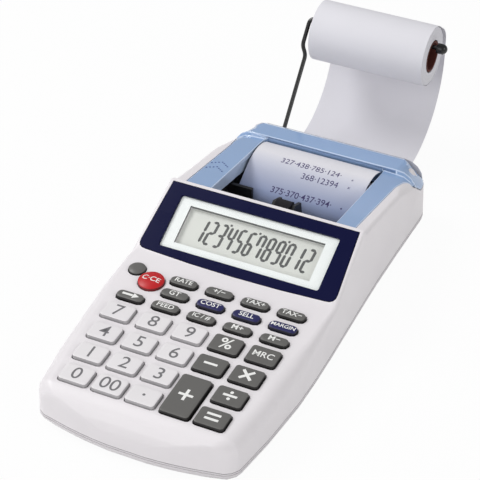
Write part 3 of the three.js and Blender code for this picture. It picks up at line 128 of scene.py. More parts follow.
# %% Floor, world and lamps
def new_material(name):
    material = bpy.data.materials.new(name)
    material.use_nodes = True
    nodes = material.node_tree.nodes
    nodes.clear()
    output = nodes.new("ShaderNodeOutputMaterial")
    return material, nodes, material.node_tree.links, output


def deselect():
    bpy.ops.object.select_all(action="DESELECT")


def only_selected(obj):
    deselect()
    obj.select_set(True)
    bpy.context.view_layer.objects.active = obj


def put(node, **values):
    for socket, value in values.items():
        node.inputs[socket.replace("_", " ")].default_value = value


def maths(nodes, links, operation, *values):
    node = nodes.new("ShaderNodeMath")
    node.operation = operation
    for socket, value in zip(node.inputs, values):
        if isinstance(value, (int, float)):
            socket.default_value = value
        else:
            links.new(value, socket)
    return node.outputs[0]


FLOOR_SIZE, FLOOR_GREY, FLOOR_GLOW, WORLD_STRENGTH = 6, 0.8, 0.95, 0.46
WHITE = (1, 1, 1, 1)
deselect()
bpy.ops.mesh.primitive_plane_add(size=FLOOR_SIZE, location=(0, 0, 0))
floor = bpy.context.object
floor.name = "floor"
floor_material, nodes, links, output = new_material("pale_floor")
diffuse = nodes.new("ShaderNodeBsdfDiffuse")
put(diffuse, Color=(FLOOR_GREY, FLOOR_GREY, FLOOR_GREY, 1))
glow = nodes.new("ShaderNodeEmission")
put(glow, Color=WHITE)
path = nodes.new("ShaderNodeLightPath")
seen = maths(nodes, links, "MAXIMUM", path.outputs["Is Camera Ray"], path.outputs["Is Glossy Ray"])
seen = maths(nodes, links, "MAXIMUM", seen, path.outputs["Is Transmission Ray"])
mix = nodes.new("ShaderNodeMixShader")
links.new(maths(nodes, links, "MULTIPLY", seen, FLOOR_GLOW), mix.inputs[0])
links.new(diffuse.outputs[0], mix.inputs[1])
links.new(glow.outputs[0], mix.inputs[2])
links.new(mix.outputs[0], output.inputs["Surface"])
floor.data.materials.append(floor_material)

world = bpy.data.worlds.new("studio")
bpy.context.scene.world = world
world.use_nodes = True
put(world.node_tree.nodes["Background"], Color=WHITE, Strength=WORLD_STRENGTH)

LAMPS = (  # name, place, aim, size, power
    ("key_lamp", (-0.8, 0.0, 0.95), (0, 0, 0), 0.5, 6.5),
    ("fill_lamp", (-0.3, -1.0, 0.55), (0, 0, 0), 0.9, 3.5),
    ("side_lamp", (1.0, -0.1, 0.6), (0, 0, 0.02), 0.7, 2.5),
)
for name, location, aim, size, power in LAMPS:
    data = bpy.data.lights.new(name, "AREA")
    data.shape = "DISK"
    data.size = size
    data.energy = power
    lamp = new_object(name, data)
    lamp.location = location
    lamp.rotation_euler = (Vector(aim) - Vector(location)).to_track_quat("-Z", "Y").to_euler()
print("lamps", [row[0] for row in LAMPS])

# %% [markdown]
# Moulded plastic is never one flat colour. A shader group adds a fine grain from the
# mould, a faint cloudiness in the colour, and patches that hands have polished. Each
# plastic places the group with its own values.

# %% Shader groups
def srgb(red, green, blue):
    def linear(value):
        value /= 255
        return value / 12.92 if value <= 0.04045 else ((value + 0.055) / 1.055) ** 2.4
    return (linear(red), linear(green), linear(blue), 1)


def new_group(name, inputs, outputs):
    group = bpy.data.node_groups.new(name, "ShaderNodeTree")
    for way, labels in (("INPUT", inputs), ("OUTPUT", outputs)):
        for label in labels.split():
            kind = "NodeSocketColor" if label == "Colour" else "NodeSocketFloat"
            group.interface.new_socket(label, in_out=way, socket_type=kind)
    return group, group.nodes.new("NodeGroupInput"), group.nodes.new("NodeGroupOutput")


def noise(nodes, links, vector, scale, detail, roughness=0.5):
    node = nodes.new("ShaderNodeTexNoise")
    put(node, Detail=detail, Roughness=roughness)
    if isinstance(scale, (int, float)):
        put(node, Scale=scale)
    else:
        links.new(scale, node.inputs["Scale"])
    links.new(vector, node.inputs["Vector"])
    return node.outputs["Fac"]


def spread(nodes, links, value, low, high, start=0.3, end=0.7):
    node = nodes.new("ShaderNodeMapRange")
    put(node, From_Min=start, From_Max=end, To_Min=low, To_Max=high)
    links.new(value, node.inputs["Value"])
    return node.outputs["Result"]


def scaled(nodes, links, colour, factor):
    node = nodes.new("ShaderNodeVectorMath")
    node.operation = "SCALE"
    links.new(colour, node.inputs[0])
    links.new(factor, node.inputs["Scale"])
    return node.outputs[0]


CLOUD_SCALE, POLISH_SCALE, POLISH = 38, 70, 0.05
plastic_group, group_in, group_out = new_group(
    "moulded_finish", "Colour Roughness Grain Cloud", "Colour Roughness Height")
nodes, links = plastic_group.nodes, plastic_group.links
coordinates = nodes.new("ShaderNodeTexCoord").outputs["Object"]
cloud = spread(nodes, links, noise(nodes, links, coordinates, CLOUD_SCALE, 3), -1, 1)
tint = maths(nodes, links, "MULTIPLY_ADD", cloud, group_in.outputs["Cloud"], 1)
links.new(scaled(nodes, links, group_in.outputs["Colour"], tint), group_out.inputs["Colour"])
polish = spread(nodes, links, noise(nodes, links, coordinates, POLISH_SCALE, 4), -POLISH, POLISH)
links.new(maths(nodes, links, "ADD", polish, group_in.outputs["Roughness"]),
          group_out.inputs["Roughness"])
links.new(noise(nodes, links, coordinates, group_in.outputs["Grain"], 2),
          group_out.inputs["Height"])
print("group", plastic_group.name, "with", len(nodes), "nodes")

# %% [markdown]
# Paper needs another group: short fibres run across the sheet as stretched noise, and
# the colour drifts a little between warm and cool white.

# %% Paper fibres
FIBRE_SCALE, FIBRE_STRETCH, FIBRE_ROUGHNESS = 900, 4, 0.65
DRIFT_SCALE, DRIFT = 30, (0.975, 1.015)
PAPER_ROUGHNESS = (0.8, 0.95)
paper_group, group_in, group_out = new_group(
    "paper_fibres", "Colour", "Colour Roughness Height")
nodes, links = paper_group.nodes, paper_group.links
coordinates = nodes.new("ShaderNodeTexCoord").outputs["Object"]
stretch = nodes.new("ShaderNodeMapping")
put(stretch, Scale=(1, FIBRE_STRETCH, FIBRE_STRETCH))
links.new(coordinates, stretch.inputs["Vector"])
fibre = noise(nodes, links, stretch.outputs["Vector"], FIBRE_SCALE, 4, FIBRE_ROUGHNESS)
drift = spread(nodes, links, noise(nodes, links, coordinates, DRIFT_SCALE, 2), *DRIFT)
links.new(scaled(nodes, links, group_in.outputs["Colour"], drift), group_out.inputs["Colour"])
links.new(spread(nodes, links, fibre, *PAPER_ROUGHNESS), group_out.inputs["Roughness"])
links.new(fibre, group_out.inputs["Height"])
print("group", paper_group.name, "with", len(nodes), "nodes")

# %% [markdown]
# One function makes every solid finish from the plastic group. The values that are the
# same all over a surface, such as its coat or its metal, sit on the shader itself. The
# tables give a slot, a name, a colour, the roughness, then grain, bump and cloud.

# %% Materials
RELIEF_DEPTH, PAPER_COLOUR = 0.0001, (224, 223, 229)


def finish_of(name, colour, roughness, grain=900, bump=0.05, cloud=0.015, group=plastic_group,
              **sockets):
    material, nodes, links, output = new_material(name)
    surface = nodes.new("ShaderNodeBsdfPrincipled")
    effect = nodes.new("ShaderNodeGroup")
    effect.node_tree = group
    put(effect, Colour=srgb(*colour))
    if group is plastic_group:
        put(effect, Roughness=roughness, Grain=grain, Cloud=cloud)
    relief = nodes.new("ShaderNodeBump")
    put(relief, Strength=bump, Distance=RELIEF_DEPTH)
    links.new(effect.outputs["Height"], relief.inputs["Height"])
    links.new(effect.outputs["Colour"], surface.inputs["Base Color"])
    links.new(effect.outputs["Roughness"], surface.inputs["Roughness"])
    links.new(relief.outputs["Normal"], surface.inputs["Normal"])
    put(surface, **sockets)
    links.new(surface.outputs[0], output.inputs["Surface"])
    return material


def finish_table(lines):
    table = {}
    for line in lines.strip().splitlines():
        slot, name, red, green, blue, *words = line.split()
        plain = [float(word) for word in words if "=" not in word]
        pairs = [word.split("=") for word in words if "=" in word]
        table[slot] = finish_of(name, (int(red), int(green), int(blue)), *plain,
                                **{socket: float(value) for socket, value in pairs})
    return table


FINISHES = finish_table("""
case case_plastic 233 229 232 0.42 1400 0.12
tray tray_plastic 222 218 221 0.45 1400 0.15
digit_key digit_key_plastic 229 226 228 0.4 1200 0.06
dark_key dark_key_plastic 98 97 95 0.38 1200 0.06
navy_key navy_key_plastic 26 26 84 0.34 1200 0.05
red_key red_key_plastic 190 8 18 0.42 1000 0.04
bezel bezel_plastic 13 16 56 0.3 800 0.03 Specular_IOR_Level=0.08
window window_plastic 240 244 242 0.06 500 0.01 Alpha=0.06
lcd lcd_glass 222 224 218 0.35 300 0.02
silicone mat_silicone 205 205 198 0.6 700 0.1
board board_laminate 30 92 50 0.4 1500 0.1 0.06
black_plastic printer_frame_plastic 11 11 14 0.45 1000 0.1
motor motor_can_steel 178 180 184 0.3 1600 0.06 Metallic=1
gear gear_plastic 206 205 198 0.45 900 0.08
pinion pinion_brass 196 160 92 0.28 1400 0.05 Metallic=1
roller roller_rubber 34 34 36 0.7 1800 0.25
steel shaft_steel 196 198 202 0.2 2000 0.04 Metallic=1
type type_rubber 36 35 38 0.6 1500 0.2
ink ink_foam 20 17 26 0.9 2500 0.6 0.1
wire arm_wire_paint 8 8 9 0.3 1600 0.08 Coat_Weight=0.5 Coat_Roughness=0.1
cap axle_cap_plastic 10 10 11 0.25 900 0.05
foot foot_rubber 30 30 31 0.8 2000 0.3
""")
FINISHES["cover"] = finish_of("cover_plastic", (160, 190, 232), 0.14, 500, 0.02, 0.03,
                              Transmission_Weight=0.22, IOR=1.49, Coat_Weight=0.4,
                              Coat_Roughness=0.06)
FINISHES["paper"] = finish_of("till_paper", PAPER_COLOUR, 0.9, bump=0.12, group=paper_group)
FINISHES["core"] = finish_of("core_card", (84, 34, 24), 0.9, bump=0.4, group=paper_group)
# Each key's walls take a darker copy of its colour: painted shade on the sides of the caps.
SHADED_WALLS = finish_table("""
digit_key digit_key_wall 182 180 182 0.5 1200 0.06
dark_key dark_key_wall 22 21 20 0.4 1200 0.06
navy_key navy_key_wall 10 9 34 0.4 1200 0.05
red_key red_key_wall 120 6 12 0.3 1000 0.04
""")
# Prints on keys, display and paper, and the lip colour, which is painted shade for the display
# recess.
INKS_AND_SHADE = finish_table("""
grey grey_legend_ink 112 111 114 0.6 2500 0.1
white white_legend_ink 238 238 236 0.6 2500 0.1
segment segment_black 12 13 14 0.5 2500 0.05
border window_border_print 246 250 249 0.5 1500 0.03
lip window_lip 40 42 44 0.5 1500 0.03
ribbon printed_ink 66 58 104 0.8 3000 0.2 0.1
""")
# A paler blue for the cover's edges and lit lines: painted highlight.
COVER_HIGHLIGHT = finish_of("cover_painted_highlight", (196, 214, 240), 0.12, 500, 0.02, 0.03,
                       Coat_Weight=0.5, Coat_Roughness=0.06)
SEAM_SHADE = finish_of("case_seam_shade", (150, 146, 150), 0.6, 1400, 0.1)
COVER_SHADE = finish_of("cover_dimple_shade", (64, 84, 140), 0.4, 500, 0.02)
SLOT_OF = {row["node"]: row["material_slot"] for row in frame["record"]["subparts"]}
for node, slot in SLOT_OF.items():
    mesh = frame["nodes"][node].data
    mesh.materials.clear()
    mesh.materials.append(FINISHES[slot])
print("finishes", len(FINISHES) + len(SHADED_WALLS) + len(INKS_AND_SHADE))

# %% [markdown]
# Seen from its end, the paper roll is hundreds of turns. Fine rings are drawn on its
# round ends by the distance from the axle, and faded out on the outside.

# %% Material of the roll
RING_SCALE, RING_SHADES, RING_FADE = 2600, (0.84, 1.03), (0.5, 0.3)


def paper_by_place(name):
    material = finish_of(name, PAPER_COLOUR, 0.9, bump=0.12, group=paper_group)
    nodes, links = material.node_tree.nodes, material.node_tree.links
    surface = next(n for n in nodes if n.type == "BSDF_PRINCIPLED")
    effect = next(n for n in nodes if n.type == "GROUP")
    spot = nodes.new("ShaderNodeSeparateXYZ")
    links.new(nodes.new("ShaderNodeTexCoord").outputs["Object"], spot.inputs[0])
    return material, nodes, links, spot, effect.outputs["Colour"], surface.inputs["Base Color"]


def roll_finish():
    material, nodes, links, spot, colour, base = paper_by_place("roll_paper")
    axle = place(0, ROLL_Y, ROLL_Z)
    across = maths(nodes, links, "SUBTRACT", spot.outputs["Y"], axle.y)
    above = maths(nodes, links, "SUBTRACT", spot.outputs["Z"], axle.z)
    flat = nodes.new("ShaderNodeCombineXYZ")
    links.new(across, flat.inputs[0])
    links.new(above, flat.inputs[1])
    length = nodes.new("ShaderNodeVectorMath")
    length.operation = "LENGTH"
    links.new(flat.outputs[0], length.inputs[0])
    scaled_radius = nodes.new("ShaderNodeCombineXYZ")
    links.new(length.outputs["Value"], scaled_radius.inputs[0])
    turns = noise(nodes, links, scaled_radius.outputs[0], RING_SCALE, 2)
    rings = spread(nodes, links, turns, *RING_SHADES)
    inside = spread(nodes, links, length.outputs["Value"], 0, 1,
                    *((ROLL_RADIUS - depth) * MM for depth in RING_FADE))
    mixed = nodes.new("ShaderNodeMix")
    links.new(inside, mixed.inputs[0])
    links.new(rings, mixed.inputs[2])
    mixed.inputs[3].default_value = 1
    links.new(scaled(nodes, links, colour, mixed.outputs[0]), base)
    return material


ROLL_FINISH = roll_finish()
print("rings fade", RING_FADE, "mm inside the roll's face")

# %% [markdown]
# The printer cover is clear blue, so the light at the foot of the paper is blue and weak.
# That light is painted into the tongue's colour: painted shade runs from blue-grey there
# to plain white in the open.

# %% Material of the tongue
SHADE_START, SHADE_END, FOOT_SHADE = 162, 181, (168, 182, 214)


def tongue_painted_shade():
    material, nodes, links, spot, colour, base = paper_by_place("tongue_paper_painted_shade")
    # Painted shade: the paper's colour is multiplied by blue-grey near the printer, fading out
    # further up the tongue.
    open_air = spread(nodes, links, spot.outputs["Y"], 0, 1, place(0, SHADE_START, 0).y,
                      place(0, SHADE_END, 0).y)
    painted_shade_mix = nodes.new("ShaderNodeMix")
    painted_shade_mix.data_type = "RGBA"
    painted_shade_mix.blend_type = "MULTIPLY"
    painted_shade_mix.inputs["B"].default_value = srgb(*FOOT_SHADE)
    links.new(maths(nodes, links, "SUBTRACT", 1, open_air), painted_shade_mix.inputs["Factor"])
    links.new(colour, painted_shade_mix.inputs["A"])
    links.new(painted_shade_mix.outputs["Result"], base)
    return material


TONGUE_PAINTED_SHADE = tongue_painted_shade()
print("tint from", SHADE_START, "to", SHADE_END, "mm")

# %% [markdown]
# Some helpers serve every piece. One hands a finished piece to its body and hides the
# imported solid it stands for. One picks faces or edges by a test of their place. Others
# bring a piece to where it belongs, copy a imported solid, make a block, soften edges or
# join.

# %% Helpers for shaping
MERGE, FLAT_ANGLE = 1e-6, 0.4


def leave_edit():
    bpy.ops.object.mode_set(mode="OBJECT")


def freeze():
    bpy.ops.object.transform_apply(location=True, rotation=True, scale=True)


def hand_over(piece, body, slot, *stands_for, finish=None):
    piece.data.materials.clear()
    piece.data.materials.append(finish or FINISHES[slot])
    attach(piece, body)
    if stands_for:
        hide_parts(*stands_for)
    return piece


def edit_all(piece, kind="VERT"):
    if bpy.context.mode != "OBJECT":
        leave_edit()
    only_selected(piece)
    bpy.ops.object.mode_set(mode="EDIT")
    bpy.ops.mesh.select_mode(type=kind)
    bpy.ops.mesh.select_all(action="SELECT")


def choose(piece, kind, test):
    edit_all(piece, kind)
    bpy.ops.mesh.select_all(action="DESELECT")
    mesh = bmesh.from_edit_mesh(piece.data)
    elements = {"VERT": mesh.verts, "EDGE": mesh.edges, "FACE": mesh.faces}[kind]
    for element in elements:
        if test(element):
            element.select_set(True)
    bmesh.update_edit_mesh(piece.data)


def settle(piece, matrix):
    only_selected(piece)
    piece.matrix_world = matrix @ piece.matrix_world
    freeze()
    return piece


def shade(piece, angle=35):
    only_selected(piece)
    bpy.ops.object.shade_smooth_by_angle(angle=radians(angle))


def apply_to(piece, modifier):
    only_selected(piece)
    bpy.ops.object.modifier_apply(modifier=modifier.name)


def flatten_wide_faces(piece):
    normals = piece.modifiers.new("normals", "WEIGHTED_NORMAL")
    normals.keep_sharp = True
    apply_to(piece, normals)


def twin(source, name="twin"):
    piece = source.copy()
    piece.data = source.data.copy()
    piece.name = name
    bpy.context.scene.collection.objects.link(piece)
    return piece


def packed_copy(node, name):
    piece = twin(frame["nodes"][node], name)
    edit_all(piece)
    bpy.ops.mesh.remove_doubles(threshold=MERGE)
    bpy.ops.mesh.dissolve_limited(angle_limit=radians(FLAT_ANGLE))
    leave_edit()
    return piece


def soften_edges(piece, width, angle, clamp=False, slot=-1):
    edge = piece.modifiers.new("edge", "BEVEL")
    edge.width = width * MM
    edge.segments = 2
    edge.limit_method = "ANGLE"
    edge.angle_limit = radians(angle)
    edge.use_clamp_overlap = clamp
    edge.material = slot
    apply_to(piece, edge)


def block(name, width, depth, bottom, top):
    deselect()
    bpy.ops.mesh.primitive_cube_add(size=1, location=(0, 0, (bottom + top) / 2 * MM),
                                    scale=(width * MM, depth * MM, (top - bottom) * MM))
    freeze()
    piece = bpy.context.object
    piece.name = name
    return piece


def plane(name, width=1, depth=1):
    deselect()
    bpy.ops.mesh.primitive_plane_add(size=1)
    piece = bpy.context.object
    piece.name = name
    piece.data.transform(Matrix.Diagonal((width * MM, depth * MM, 1, 1)))
    return piece


def round_uprights(piece, height, radius, segments):
    choose(piece, "EDGE", lambda e: abs(e.verts[0].co.z - e.verts[1].co.z) > height / 2 * MM)
    bpy.ops.mesh.bevel(offset=radius * MM, segments=segments, affect="EDGES")


def soften_rim(piece, width, segments):
    choose(piece, "FACE", lambda f: f.normal.z > 0.99)
    bpy.ops.mesh.region_to_loop()
    bpy.ops.mesh.bevel(offset=width * MM, segments=segments, affect="EDGES")


def joined(pieces, name):
    deselect()
    for piece in pieces:
        piece.select_set(True)
    bpy.context.view_layer.objects.active = pieces[0]
    bpy.ops.object.join()
    pieces[0].name = name
    return pieces[0]

# %% [markdown]
# The case halves, the bezel and the battery cover already have their true form in the
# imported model, but their edges are knife sharp. A moulded edge always has a small
# radius, and that thin highlight is what makes plastic look real. So a narrow bevel is
# cut along the sharp edges of a copy, and the rest is shaded smooth. The case halves
# have some tiny edges, so there the bevel is kept from running into itself.

# %% Softened shells
SHARP_ANGLE = 35
SHELLS = {"upper_case": (0.25, True), "lower_case": (0.25, True),
          "display_bezel": (0.2, False), "battery_cover": (0.3, False)}
for node, (width, clamp) in SHELLS.items():
    shell = packed_copy(node, node.replace("_", "-") + "-shell")
    soften_edges(shell, width, SHARP_ANGLE, clamp)
    shade(shell, SHARP_ANGLE)
    flatten_wide_faces(shell)
    hand_over(shell, BODY_OF[node], SLOT_OF[node], node)
    print(shell.name, "faces", len(shell.data.polygons))

# %% [markdown]
# The tray wraps up round the foot of the case, so the joint that the eye sees runs a few
# millimetres above the desk. The case shell is cut by two level planes: the thin band
# between them is the shadow line of the joint, and the faces below it take the tray's
# plastic.

# %% Seam round the foot of the case
SEAM_Z, SEAM_WIDTH = 3.9, 0.35
TRAY_FACE, SEAM_FACE = 1, 2
case_shell = bpy.data.objects["upper-case-shell"]
for height in (SEAM_Z, SEAM_Z + SEAM_WIDTH):
    edit_all(case_shell, "FACE")
    bpy.ops.mesh.bisect(plane_co=place(0, 0, height), plane_no=(0, 0, 1))
leave_edit()
case_shell.data.materials.append(FINISHES["tray"])
case_shell.data.materials.append(SEAM_SHADE)
seam_low, seam_high = place(0, 0, SEAM_Z).z, place(0, 0, SEAM_Z + SEAM_WIDTH).z
for face in case_shell.data.polygons:
    top = max(case_shell.data.vertices[v].co.z for v in face.vertices)
    if face.center.z < seam_low:
        face.material_index = TRAY_FACE
    elif face.center.z < seam_high and top < seam_high + MERGE:
        face.material_index = SEAM_FACE
print("seam faces", sum(face.material_index == SEAM_FACE for face in case_shell.data.polygons))

# %% [markdown]
# The printer cover is clear blue plastic, moulded thin. Its bar ends in round corners,
# and its right arm falls away to the opening in a wide scoop. Light that runs inside the
# sheet comes out at its edges, and that light is painted here: the edges take a paler
# colour, a painted highlight. The imported solid is copied, points near the bar's ends are
# drawn onto an ellipse, and the inner edges of the arms are moved, the right one for the
# scoop and the left one for its lean. The bevel's narrow faces, the inner wall of the left
# arm and a line along the rear of the bar take that paler painted highlight.

# %% Printer cover
BAR_CENTRE_X, BAR_CENTRE_Y, BAR_REACH_X, BAR_REACH_Y = 30, 188, 16.2, 18.6
ROUND_FROM_Z, ROUND_FULL_Z = 20.5, 28
SCOOP_FRONT, SCOOP_BACK = 1.6, 6.2
COVER_FRONT, COVER_CORNER, LEFT_LEAN = 132, 190.5, 1.8
INNER_WALL, INNER_DEPTH = (29, 31.6), 3
ARM_START, ARM_RUN, ARM_HEIGHT, ARM_FALL = 133.9, 44.6, 39.1, 7.4
COVER_BEVEL, COVER_ANGLE = 0.4, 28
HIGHLIGHT_WALL_X, HIGHLIGHT_REAR_Y, HIGHLIGHT_REAR_Z = (-31, -26), (203.6, 204.4), 24


def onto_ellipse(x, y, z):
    across, along = (abs(x) - BAR_CENTRE_X) / BAR_REACH_X, (y - BAR_CENTRE_Y) / BAR_REACH_Y
    if across <= 0 or along <= 0:
        return x, y
    share = max(across, along) / hypot(across, along)
    rounding = min(max((z - ROUND_FROM_Z) / (ROUND_FULL_Z - ROUND_FROM_Z), 0), 1)
    factor = 1 + (share - 1) * rounding
    reach = BAR_CENTRE_X + across * BAR_REACH_X * factor
    return copysign(reach, x), BAR_CENTRE_Y + along * BAR_REACH_Y * factor


def arm_top(y):
    return ARM_HEIGHT - (y - ARM_START) * ARM_FALL / ARM_RUN


def inner_edge_moved(x, y, z):
    on_wall = INNER_WALL[0] < abs(x) < INNER_WALL[1]
    if on_wall and y < COVER_CORNER and z > arm_top(y) - INNER_DEPTH:
        share = (y - COVER_FRONT) / (COVER_CORNER - COVER_FRONT)
        return x + (SCOOP_FRONT + (SCOOP_BACK - SCOOP_FRONT) * share if x > 0 else LEFT_LEAN)
    return x


cover = packed_copy("printer_cover", "printer-cover-shell")
origin = place(0, 0, 0)
for vertex in cover.data.vertices:
    x, y, z = (vertex.co - origin) / MM
    vertex.co = place(*onto_ellipse(inner_edge_moved(x, y, z), y, z), z)
cover.data.materials.append(COVER_HIGHLIGHT)
soften_edges(cover, COVER_BEVEL, COVER_ANGLE, slot=1)
kinds = [face.material_index for face in cover.data.polygons]
shade(cover)
flatten_wide_faces(cover)
hand_over(cover, "printer_cover", "cover", "printer_cover")
cover.data.materials.append(COVER_HIGHLIGHT)
# Bevel faces, the left arm's inner wall and a line along the bar's rear take the painted highlight
# colour.
for face, kind in zip(cover.data.polygons, kinds):
    x, y, z = (face.center - origin) / MM
    lit_inner_wall = face.normal.x > 0.9 and HIGHLIGHT_WALL_X[0] < x < HIGHLIGHT_WALL_X[1]
    rear_highlight = HIGHLIGHT_REAR_Y[0] < y < HIGHLIGHT_REAR_Y[1] and z > HIGHLIGHT_REAR_Z
    face.material_index = 1 if lit_inner_wall or rear_highlight else kind
print("cover faces", len(cover.data.polygons), "pale", sum(kinds))

# %% [markdown]
# Two rows of small dimples on the left arm form an arrow that shows the thumb where to
# push. Each is a shallow bead coloured dark with painted shade, modelled once and copied.

# %% Grip dimples
DIMPLE_X, DIMPLE_Y, DIMPLE_STEP, DIMPLE_ROW, ARROW_REACH = -35.6, 150.5, 1.3, 5.6, 3
DIMPLE_RADIUS, DIMPLE_FLATNESS, ARROW_SLOPE, DIMPLE_RISE = 0.42, 0.35, 0.8, 0.02
deselect()
bpy.ops.mesh.primitive_uv_sphere_add(segments=12, ring_count=8, radius=DIMPLE_RADIUS * MM)
bpy.ops.transform.resize(value=(1, 1, DIMPLE_FLATNESS))
freeze()
dimple = bpy.context.object
dimples = []
for row in (0, 1):
    for turn in range(-ARROW_REACH, ARROW_REACH + 1):
        x = DIMPLE_X + turn * DIMPLE_STEP
        y = (DIMPLE_Y + row * DIMPLE_ROW
             + (ARROW_REACH - abs(turn)) * DIMPLE_STEP * ARROW_SLOPE)
        dimples.append(twin(dimple))
        dimples[-1].data.transform(moved(place(x, y, arm_top(y) + DIMPLE_RISE)))
bpy.data.objects.remove(dimple)
grip = joined(dimples, "cover-grip-dimples")
shade(grip, 60)
hand_over(grip, "printer_cover", "cover", finish=COVER_SHADE)
print("dimples", len(dimples))

# %% [markdown]
# A calculator key is a small moulded cap with rounded corners, almost upright walls and
# a slightly crowned top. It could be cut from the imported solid, but that has few faces
# at its corners. So one blank of each shape is modelled from a cube or a cylinder: a
# cube's top is drawn in a little and its upright edges are rounded, then the rim gets a
# fine bevel, and insets lift the top into its crown. The blanks are then copied, one mesh
# to each key.

# %% Key blanks
KEY_FOOT, KEY_PROUD, RED_PROUD, DOT_PROUD = -3.1, 1.5, 1.3, 1.0
KEY_WIDTH, KEY_DEPTH, TALL_DEPTH, KEY_CORNER = 13.6, 10, 23.4, 1.4
BAR_WIDTH, BAR_DEPTH, BAR_CORNER, RED_RADIUS, DOT_RADIUS = 13, 5.3, 2.23, 5.8, 3.85
BAR_RIM, BAR_LEAN, RED_RIM, DOT_RIM = 0.35, 0.35, 0.45, 0.4
PLAIN_CROWN = ((0.5, 0.06), (0.5, 0.04))  # how far each inset goes in, and up
BAR_CROWN = ((0.55, 0.12), (0.7, 0.05))
RED_CROWN = ((0.7, 0.32), (0.9, 0.27), (1.1, 0.2), (1.2, 0.1))
DOT_CROWN = ((0.55, 0.22), (0.8, 0.17), (0.9, 0.07))
CAP_SLOPE = 0.35


def finish_key_top(blank, rim, crown):
    top = max(v.co.z for v in blank.data.vertices)
    soften_rim(blank, rim, 3)
    for thickness, lift in crown:
        choose(blank, "FACE",
               lambda f: f.normal.z > 0.99 and f.calc_center_median().z > top - 1e-5)
        bpy.ops.mesh.inset(thickness=thickness * MM, depth=lift * MM)
        top += lift * MM
    leave_edit()
    # Steep faces take the darker wall colour, painted shade on the key's sides; the top keeps the
    # key's own colour.
    for face in blank.data.polygons:
        face.material_index = 0 if face.normal.z > CAP_SLOPE else 1
    shade(blank, 40)
    flatten_wide_faces(blank)


def key_blank(name, width, depth, corner, rim=0.28, lean=0.3, crown=PLAIN_CROWN):
    blank = block(name, width, depth, KEY_FOOT, KEY_PROUD)
    choose(blank, "FACE", lambda f: f.normal.z > 0.9)
    bpy.ops.transform.resize(value=((width - 2 * lean) / width, (depth - 2 * lean) / depth, 1),
                             center_override=(0, 0, KEY_PROUD * MM))
    round_uprights(blank, KEY_PROUD - KEY_FOOT, corner, 7)
    finish_key_top(blank, rim, crown)
    return blank


def round_blank(name, radius, proud, rim, crown):
    deselect()
    bpy.ops.mesh.primitive_cylinder_add(vertices=48, radius=radius * MM,
                                        depth=(proud - KEY_FOOT) * MM,
                                        location=(0, 0, (proud + KEY_FOOT) / 2 * MM))
    freeze()
    blank = bpy.context.object
    blank.name = name
    finish_key_top(blank, rim, crown)
    return blank


BLANKS = {
    "big": key_blank("big-blank", KEY_WIDTH, KEY_DEPTH, KEY_CORNER),
    "tall": key_blank("tall-blank", KEY_WIDTH, TALL_DEPTH, KEY_CORNER),
    "bar": key_blank("bar-blank", BAR_WIDTH, BAR_DEPTH, BAR_CORNER, BAR_RIM, BAR_LEAN,
                     BAR_CROWN),
    "red": round_blank("red-blank", RED_RADIUS, RED_PROUD, RED_RIM, RED_CROWN),
    "dot": round_blank("dot-blank", DOT_RADIUS, DOT_PROUD, DOT_RIM, DOT_CROWN),
}
print("blanks", {name: len(blank.data.polygons) for name, blank in BLANKS.items()})

# %% [markdown]
# The keypad is a table: each key has its column, row and colour, its legend's height and
# the legend. The columns open a little towards the display, as the case does. Legends are
# printed on the tops, so each is text made into a mesh, cut crosswise so that it bends,
# then pressed onto its key with a shrinkwrap that follows the crown.

# %% Keypad table
ROWS = {"zero": 16, "one": 29.4, "four": 42.8, "seven": 56.2, "low": 66.8, "mid": 75.3,
        "high": 83.8}
BAR_ROWS, COLUMN_PITCH, COLUMN_OPENING = ("low", "mid", "high"), 15.25, 0.0373
KEYS = """
0 0 zero digit 9.2 0
00 1 zero digit 9.2 00
point 2 zero digit 5 •
equals 4 zero dark 12.6 =
1 0 one digit 9.2 1
2 1 one digit 9.2 2
3 2 one digit 9.2 3
divide 4 one dark 12.6 ÷
4 0 four digit 9.2 4
5 1 four digit 9.2 5
6 2 four digit 9.2 6
minus 3 four dark 12.4 −
multiply 4 four dark 13.4 ×
7 0 seven digit 9.2 7
8 1 seven digit 9.2 8
9 2 seven digit 9.2 9
percent 3 seven dark 8.6 %
memory_total 4 seven dark 4.6 MRC
backspace 0 low dark 3 arrow
paper_feed 1 low dark 3.6 FEED
item_count 2 low dark 3.4 IC / #
memory_plus 3 low dark 4 M+
memory_minus 4 low dark 4 M−
grand_total 1 mid dark 3.8 GT
cost 2 mid navy 3.5 COST
sell 3 mid navy 3.5 SELL
margin 4 mid navy 2.9 MARGIN
rate 1 high dark 3.5 RATE
sign 2 high dark 4 +/−
tax_plus 3 high dark 3.6 TAX+
tax_minus 4 high dark 3.6 TAX−
"""


def column_x(column, y):
    opened = min(y, ROWS["seven"]) - ROWS["zero"]
    return (column - 2) * (COLUMN_PITCH + COLUMN_OPENING * opened)


def text_mesh(name, words, size, bold=0.0):
    deselect()
    bpy.ops.object.text_add(location=(0, 0, 0))
    text = bpy.context.object
    text.name = name
    text.data.body = words
    text.data.size = size * MM
    text.data.resolution_u = 5
    text.data.offset = bold * MM
    bpy.ops.object.convert(target="MESH")
    corners = [v.co for v in text.data.vertices]
    middle = Vector((min(c.x for c in corners) + max(c.x for c in corners),
                     min(c.y for c in corners) + max(c.y for c in corners), 0)) / 2
    text.data.transform(moved(-middle))
    return text


ARROW_LENGTH, ARROW_THICKNESS = 7.6, 1.5
HEAD_SHARE, HEAD_PLACE, SHAFT_LONG, SHAFT_THICK, SHAFT_PLACE = 1.25, 0.28, 0.64, 0.8, -0.18


